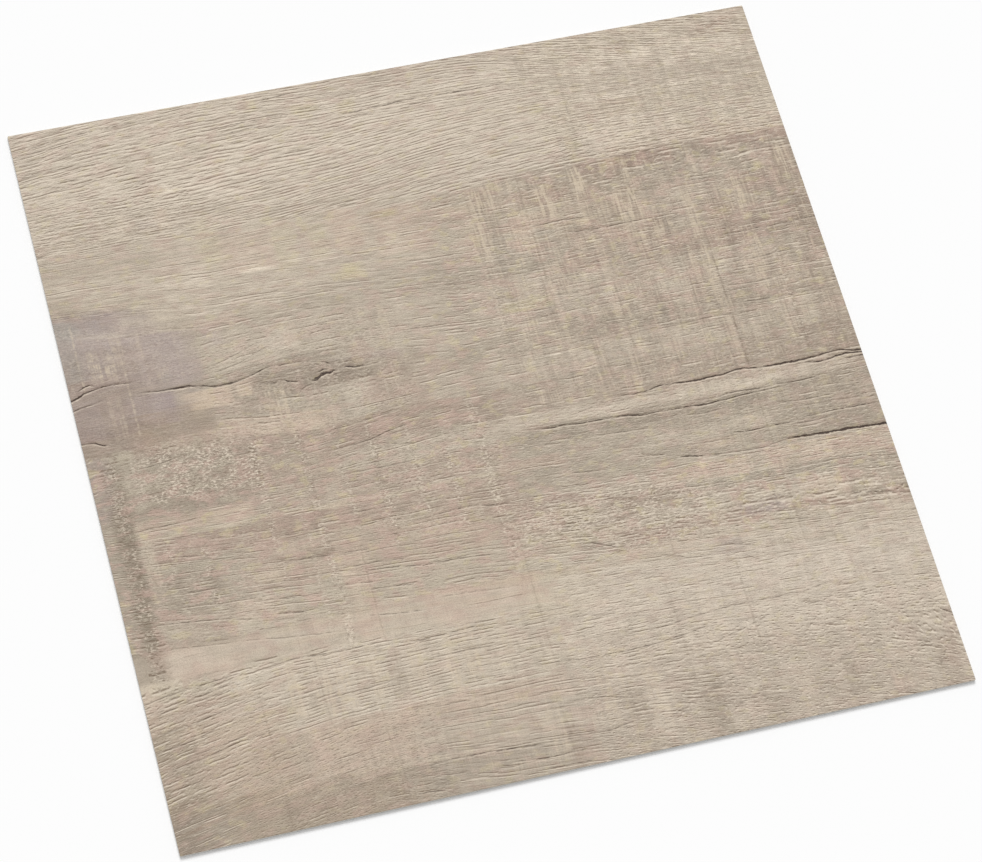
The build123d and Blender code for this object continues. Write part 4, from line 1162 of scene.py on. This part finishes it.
    def finish(self, roughness):
        """Connects the colour, the roughness and the fine height as bump."""
        self.tree.links.new(self.colour, self.shader.inputs["Base Color"])
        if isinstance(roughness, bpy.types.NodeSocket):
            self.tree.links.new(roughness, self.shader.inputs["Roughness"])
        else:
            self.shader.inputs["Roughness"].default_value = roughness
        bump = self.new("ShaderNodeBump", {"Height": self.height, "Distance": MM, "Strength": 1.0})
        self.tree.links.new(bump.outputs[0], self.shader.inputs["Normal"])
        return self.material


# Noises of the print, first those that follow the grain and then those that lie straight on the tile:
# size along and across in millimetres, shift, detail, roughness and distortion
GRAIN_NOISES = {
    "hue": ((9, 5.5), (9, 60), 3, 0.55),
    "streak": ((44, 2.2), (3, 7), 3, 0.6),
    "cloud": ((9, 4.8), (19, 70), 3, 0.6),
    "thread": ((8, 0.9), (11, 2), 2, 0.55),
    "long_grain": ((13, 0.62), (31, 4), 1),
    "grain_dash": ((5, 0.52), (5, 31), 1),
    "fleck": (FLECK_SIZE, (55, 12), 1),
    # The flecks' copy for their painted highlight, moved to the near side
    "fleck_near": (FLECK_SIZE, (55, 12 - FLECK_LIP / FLECK_SIZE[1]), 1),
    "breakup": ((3.0, 0.7), (8, 90), 2, 0.6),
    "bend": ((28, 16), (14, 3), 1),
    "gaps": ((5, 0.8), (7, 49), 2),
    "ragged": ((2.4, 1.4), (33, 44), 1),
    "fine_ragged": ((0.8, 0.7), (13, 4), 1),
    "pieces": ((4.5, 0.9), (77, 6), 2, 0.6),
}
TILE_NOISES = {
    "olive": ((6.5, 4.2), (40, 3), 2),
    "grit": ((0.55, 0.40), (61, 17), 2, 0.6),
    "stripe": ((0.8, 16), (17, 5), 2, 0.6),
    "wide": ((2.8, 42), (83, 5), 1),
    "block": ((6, 8), (29, 13), 2),
    "plot": ((7, 10), (36, 91), 2, 0.6),
    "teeth": ((0.95, 9), (51, 8), 2, 0.6),
    "wiggle": ((9, 2.5), (2, 2), 2),
    "wear": ((3, 2.4), (47, 9), 2, 0.6),
    "cluster": ((7, 5), (5, 66), 2),
    "speck": ((1.5, 0.60), (71, 23), 2, 0.65),
    "flake": ((2.4, 0.75), (12, 55), 2, 0.65, 0.3),
}


class WearFace(Nodes):
    """Satin-matte clear wear layer over the oak print, built up layer by layer."""

    def __init__(self, face):
        super().__init__("printed_oak")
        self.face = face
        self.grain = self.field("grain")
        self.place = self.millimetres()
        self.u, self.v, self.clouding = self.parts(self.grain)
        self.groove, self.groove_lip, self.flecks = self.parts(self.field("lines"))
        self.emboss, *self.shares = self.parts(self.field("texture"))
        self.saw, self.rough, self.comb = self.parts(self.field("cross"))
        self.colour = self.field("tone", "Color")
        self.thread, self.breakup, self.teeth = map(self.pattern, ("thread", "breakup", "teeth"))
        self.wiggle = self.centred(self.pattern("wiggle"), 0.9)

    def pattern(self, name):
        """One of the named noises."""
        if name in GRAIN_NOISES:
            return self.noise(self.grain, *GRAIN_NOISES[name])
        return self.noise(self.place, *TILE_NOISES[name])

    def cloud_over(self):
        """Rose and green-grey streaks along the grain, and small olive patches."""
        hue = self.pattern("hue")
        self.tint(ROSY, self.band(hue, 0.48, 0.66), self.clouding, 0.72)
        self.tint(GREENISH, self.band(hue, 0.46, 0.30), self.clouding, 0.42)
        olive = self.band(self.pattern("olive"), 0.59, 0.71)
        self.tint(OLIVE_SPOT, olive, self.band(self.emboss, 0.17, 0.28),
                  self.linear(self.clouding, 0.38, 0.15))

    def vary_tone(self):
        """Long soft streaks, clouds, grit and threads."""
        grit = self.pattern("grit")
        threads = self.times(self.centred(self.thread, 0.36), self.math("ADD", self.emboss, 0.08))
        self.shade(self.sum(0.990, self.centred(self.pattern("streak"), 0.21),
                            self.centred(self.pattern("cloud"), 0.30), self.centred(grit, 0.68), threads))
        self.lift(0.07, grit)
        self.lift(0.12, self.thread, self.emboss)

    def draw_fine_grain(self):
        """Dense lines, flecks and single lines, each with a raised lip on its near side that is also painted
        as a highlight.
        """
        # Dense lines, where stretched noise runs low, with painted highlight on the raised parts where it
        # runs high
        long_grain, dash = self.pattern("long_grain"), self.pattern("grain_dash")
        dense = self.sum(self.band(long_grain, 0.45, 0.30), self.band(dash, 0.44, 0.28))
        dense_lip_and_highlight = self.sum(self.band(long_grain, 0.56, 0.72), self.band(dash, 0.56, 0.74))
        # Short flecks, each with a painted highlight copy moved to its near side
        fleck = self.pattern("fleck")
        fleck_line = self.times(self.band(fleck, 0.41, 0.27), self.flecks)
        fleck_lip_and_highlight = self.times(self.band(self.pattern("fleck_near"), 0.41, 0.27), self.flecks)
        # Single lines, of uneven strength along their length
        bent_v = self.math("ADD", self.v, self.centred(self.pattern("bend"), 2.2))
        single, single_lip_and_highlight = zip(*[self.lines(self.u, bent_v, share, *settings)
                                   for settings, share in zip(GRAIN_LINES, self.shares)])
        beaded = self.linear(self.breakup, 3.0, -0.12)
        line = self.sum(self.times(dense, self.emboss, 0.95), self.times(fleck_line, 0.9),
                        self.times(self.sum(*single), beaded))
        lip = self.sum(self.times(dense_lip_and_highlight, self.emboss, 0.95), fleck_lip_and_highlight,
                       self.times(self.sum(*single_lip_and_highlight), beaded))
        line = self.math("MINIMUM", line, 1.3)
        lip = self.math("MINIMUM", self.times(lip, self.band(self.emboss, 0.12, 0.42, 0.15, 1.1)), 1.0)
        self.tint(LINE_INK, line, 0.60)
        # Painted highlight on the near lips, where the key light from beyond the far edge would catch them;
        # the bump raises the lips a little as well
        self.tint(LIP_HIGHLIGHT, lip, 0.54)
        self.lift(0.22, long_grain, self.emboss)
        self.lift(0.20, dash, self.emboss)
        self.lift(0.10, fleck, self.flecks)
        self.lift(-0.040, line)
        self.lift(0.024, lip)

    def saw_across(self):
        """Saw marks across the grain: wide and narrow stripes in short blocks, and combs of pale teeth."""
        stripe = self.pattern("stripe")
        sawn = self.times(self.saw, self.band(self.pattern("block"), 0.40, 0.60))
        plot = self.band(self.pattern("plot"), 0.42, 0.58)
        self.shade(self.sum(1.0, self.centred(self.pattern("wide"), self.times(self.saw, 0.40)),
                            self.centred(plot, self.times(self.saw, 0.09))))
        self.tint(CREAM, self.band(stripe, 0.52, 0.68), sawn, 0.45)
        self.tint(BROWN, self.band(stripe, 0.48, 0.34), sawn, 0.40)
        self.tint(BAR_PALE, self.band(self.teeth, 0.50, 0.58), self.comb, 0.75)
        self.tint(BROWN, self.band(self.teeth, 0.48, 0.38), self.comb, 0.50)
        self.lift(0.05, stripe, sawn)

    def beside_bar(self, name):
        """Distance from the uneven edge of the nearest bar, its half width and its strength."""
        off, half, strength = self.parts(self.field(name))
        edge = self.math("SUBTRACT", self.math("ABSOLUTE", self.math("ADD", off, self.wiggle)), half)
        return edge, half, strength

    def draw_bars(self):
        """Bars and thin lines straight across the grain; wide pale bars are made of fine stripes."""
        wear = self.times(self.band(self.pattern("wear"), 0.30, 0.62, 0.25, 1.05),
                          self.band(self.pattern("gaps"), 0.36, 0.56, 0.45, 1.15))
        for number in range(len(self.face.bars)):
            edge, half, strength = self.beside_bar("bars_%d" % number)
            cover = self.times(self.band(edge, 0.35, -0.3), strength, wear)
            striped = self.math("MAXIMUM", self.band(self.teeth, 0.42, 0.54, 0.30, 1.2),
                                self.band(half, 1.0, 0.7))
            self.tint(BAR_DARK, cover, 0.62)
            self.tint(BAR_PALE, cover, -0.82, striped)

    def tear_grain(self):
        """Torn grain, also in columns: pale specks in clusters, and dark flakes."""
        rough = self.rough
        for number in range(len(self.face.torn)):
            edge, _, strength = self.beside_bar("torn_%d" % number)
            rough = self.linear(self.band(edge, 0.8, -0.6), strength, rough)
        speck, flake = self.pattern("speck"), self.pattern("flake")
        cluster = self.band(self.pattern("cluster"), 0.33, 0.56)
        self.tint(CHALK, self.band(speck, 0.49, 0.60), rough, cluster, 0.68)
        self.tint(LINE_INK, self.band(flake, 0.46, 0.32), rough, 0.45)
        self.lift(0.16, speck, rough)
        self.lift(0.16, flake, rough)

    def ink_grooves(self):
        """Printed lines under the grooves of the mesh, and painted highlight on the raised near lip beside
        them.
        """
        self.tint(LINE_INK, self.groove, self.math("MULTIPLY_ADD", self.breakup, 2.4, -0.3, clamp=True), 0.36)
        # Painted highlight on the raised near lip of each groove
        self.tint(LIP_HIGHLIGHT, self.groove_lip, 0.22)

    def draw_cuts(self):
        """Cracks and single marks, crisp at any distance, with a dark halo that is part print and part
        painted shade, and painted highlight on the near lip; faint ones are broken up.
        """
        torn = self.sum(self.centred(self.pattern("ragged"), 1.2),
                        self.centred(self.pattern("fine_ragged"), 0.7))
        pieces = self.band(self.pattern("pieces"), 0.40, 0.54, 0.15, 1.1)
        uneven = self.linear(self.breakup, 1.6, 0.32)
        for number in range(len(self.face.cuts)):
            distance, half, dark = self.parts(self.field("cuts_%d" % number))
            half = self.linear(half, 0.92, -0.01)
            off = self.math("ADD", distance, self.times(self.math("ADD", half, 0.15), torn))
            gap = self.math("SUBTRACT", self.math("ABSOLUTE", off), half)
            whole = self.math("MAXIMUM", pieces, self.band(dark, 0.55, 1.0))
            dark = self.math("MULTIPLY", self.times(dark, whole), uneven, clamp=True)
            beside = self.math("SUBTRACT", self.math("SUBTRACT", off, half), 0.42)
            cover = self.times(self.band(gap, 0.11, -0.09), dark)
            # Dark halo round the crack: part print, part painted shade beside the groove
            self.tint(LINE_INK, self.band(gap, 0.60, 0.0), dark, 0.42)
            # Painted highlight on the crack's near lip, where the key light from beyond the far edge would
            # catch it
            self.tint(CHALK, self.band(self.math("ABSOLUTE", beside), 0.34, 0.1), dark, 0.62)
            self.tint(CRACK_INK, cover)
            self.lift(-0.07, cover)

    def build(self):
        self.cloud_over()
        self.vary_tone()
        self.draw_fine_grain()
        self.saw_across()
        self.draw_bars()
        self.tear_grain()
        self.ink_grooves()
        self.draw_cuts()
        return self.finish(self.linear(self.thread, 0.16, 0.44))


def cut_edge_material():
    """Chalk-filled PVC where the punch has sheared it, greyer than the print, with the film on top."""
    n = Nodes("cut_vinyl_edge")
    x, y, z = n.parts(n.millimetres())
    run = n.joined(n.math("ADD", x, y), z)
    shear = n.noise(run, (0.25, 1.6), (4, 4), 2, 0.6)
    grit = n.noise(run, (0.5, 0.3), (20, 9), 2, 0.6)
    n.colour = n.mix(n.band(grit, 0.35, 0.65), *EDGE_TONES)
    n.shade(n.linear(shear, 0.2, 0.9))
    film = n.math("ADD", z, n.times(shear, 0.06))
    n.tint(FILM, n.band(film, THICKNESS - 0.36, THICKNESS - 0.26))
    n.lift(0.05, shear)
    return n.finish(0.62)


def underside_material():
    """Plain grey backing with the fine cross-hatch that the calender rolls leave."""
    n = Nodes("grey_backing")
    place = n.millimetres()
    x, y, _ = n.parts(place)
    grit = n.noise(place, (0.6, 0.6), (13, 3), 2, 0.6)
    n.colour = n.mix(n.band(n.noise(place, (38, 60), (1, 1), 4, 0.6), 0.3, 0.7), *BACKING_TONES)
    n.shade(n.linear(grit, 0.12, 0.94))
    n.lift(0.02, grit)
    for operation in ("ADD", "SUBTRACT"):
        n.lift(0.012, n.math("SINE", n.times(n.math(operation, x, y), math.tau / HATCH_PITCH)))
    return n.finish(0.7)


# Camera, fitted to the tile's corners: it looks at a point close to the middle of the tile
LOOK_AT = (0.00077, -0.01302, THICKNESS * MM)
CAMERA_DISTANCE = 1.3285
CAMERA_ELEVATION = 63.47
CAMERA_AZIMUTH = 26.14
CAMERA_ROLL = 12.345
CAMERA_LENS = 127.28


def add_camera():
    azimuth, elevation, roll = (math.radians(a) for a in (CAMERA_AZIMUTH, CAMERA_ELEVATION, CAMERA_ROLL))
    flat = math.cos(elevation)
    direction = Vector((math.sin(azimuth) * flat, math.cos(azimuth) * flat, -math.sin(elevation)))
    level = direction.cross(Vector((0, 0, 1))).normalized()
    upright = level.cross(direction)
    right = math.cos(roll) * level + math.sin(roll) * upright
    up = math.cos(roll) * upright - math.sin(roll) * level
    data = bpy.data.cameras.new("camera")
    data.lens = CAMERA_LENS
    data.sensor_width = 36.0
    data.clip_start = 0.05
    camera = bpy.data.objects.new("camera", data)
    camera.matrix_world = Matrix.Translation(Vector(LOOK_AT) - direction * CAMERA_DISTANCE) @ Matrix(
        (right, up, -direction)).transposed().to_4x4()
    bpy.context.collection.objects.link(camera)
    bpy.context.scene.camera = camera


# Floor: half its side, its distance below the tile, and its white
FLOOR_REACH = 6.0
FLOOR_GAP = 0.0002
FLOOR_WHITE = (0.96, 0.96, 0.96, 1.0)


def add_floor():
    """Plain white floor under the tile."""
    corners = [(x * FLOOR_REACH, y * FLOOR_REACH, 0) for x, y in ((-1, -1), (1, -1), (1, 1), (-1, 1))]
    mesh = bpy.data.meshes.new("floor")
    mesh.from_pydata(corners, [], [(0, 1, 2, 3)])
    floor = bpy.data.objects.new("floor", mesh)
    floor.location.z = low[2] - FLOOR_GAP
    n = Nodes("white_floor")
    n.shader.inputs["Base Color"].default_value = FLOOR_WHITE
    n.shader.inputs["Roughness"].default_value = 1.0
    n.shader.inputs["Specular IOR Level"].default_value = 0.0
    mesh.materials.append(n.material)
    bpy.context.collection.objects.link(floor)


# Light: a broad soft key from beyond the far edge, and an even fill
KEY_ELEVATION = 47.0
KEY_AZIMUTH = 8.0
KEY_STRENGTH = 1.90
KEY_SPREAD = 30.0
FILL_STRENGTH = 0.580


def add_light():
    data = bpy.data.lights.new("key", "SUN")
    data.energy = KEY_STRENGTH
    data.angle = math.radians(KEY_SPREAD)
    key = bpy.data.objects.new("key", data)
    elevation, azimuth = math.radians(KEY_ELEVATION), math.radians(KEY_AZIMUTH)
    towards = Vector((math.sin(azimuth) * math.cos(elevation), math.cos(azimuth) * math.cos(elevation),
                      math.sin(elevation)))
    key.rotation_euler = towards.to_track_quat("Z", "Y").to_euler()
    bpy.context.collection.objects.link(key)
    world = bpy.data.worlds.new("studio")
    world.use_nodes = True
    tree = world.node_tree
    background = tree.nodes["Background"]
    background.inputs["Color"].default_value = (1.0, 1.0, 1.0, 1.0)
    # The world fills in at FILL_STRENGTH, and is seen, mirrored or looked through as plain white
    path = tree.nodes.new("ShaderNodeLightPath")
    seen = path.outputs["Is Camera Ray"]
    for ray in ("Is Glossy Ray", "Is Transmission Ray"):
        either = tree.nodes.new("ShaderNodeMath")
        either.operation = "MAXIMUM"
        tree.links.new(seen, either.inputs[0])
        tree.links.new(path.outputs[ray], either.inputs[1])
        seen = either.outputs[0]
    strength = tree.nodes.new("ShaderNodeMapRange")
    strength.inputs["To Min"].default_value = FILL_STRENGTH
    strength.inputs["To Max"].default_value = 1.0
    tree.links.new(seen, strength.inputs["Value"])
    tree.links.new(strength.outputs["Result"], background.inputs["Strength"])
    bpy.context.scene.world = world


def make_tile():
    face = Face()
    mesh, points, border = build_tile(face)
    add_fields(mesh, face, border)
    add_bake_map(mesh, points, face.x.size, len(border))
    for material in (WearFace(face).build(), cut_edge_material(), underside_material()):
        mesh.materials.append(material)
    tile = bpy.data.objects.new("vinyl_tile_dressed", mesh)
    bpy.context.collection.objects.link(tile)
    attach(tile, "root")
    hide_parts("vinyl_tile")


make_tile()
add_floor()
add_light()
add_camera()
bpy.context.scene.view_settings.view_transform = "Standard"
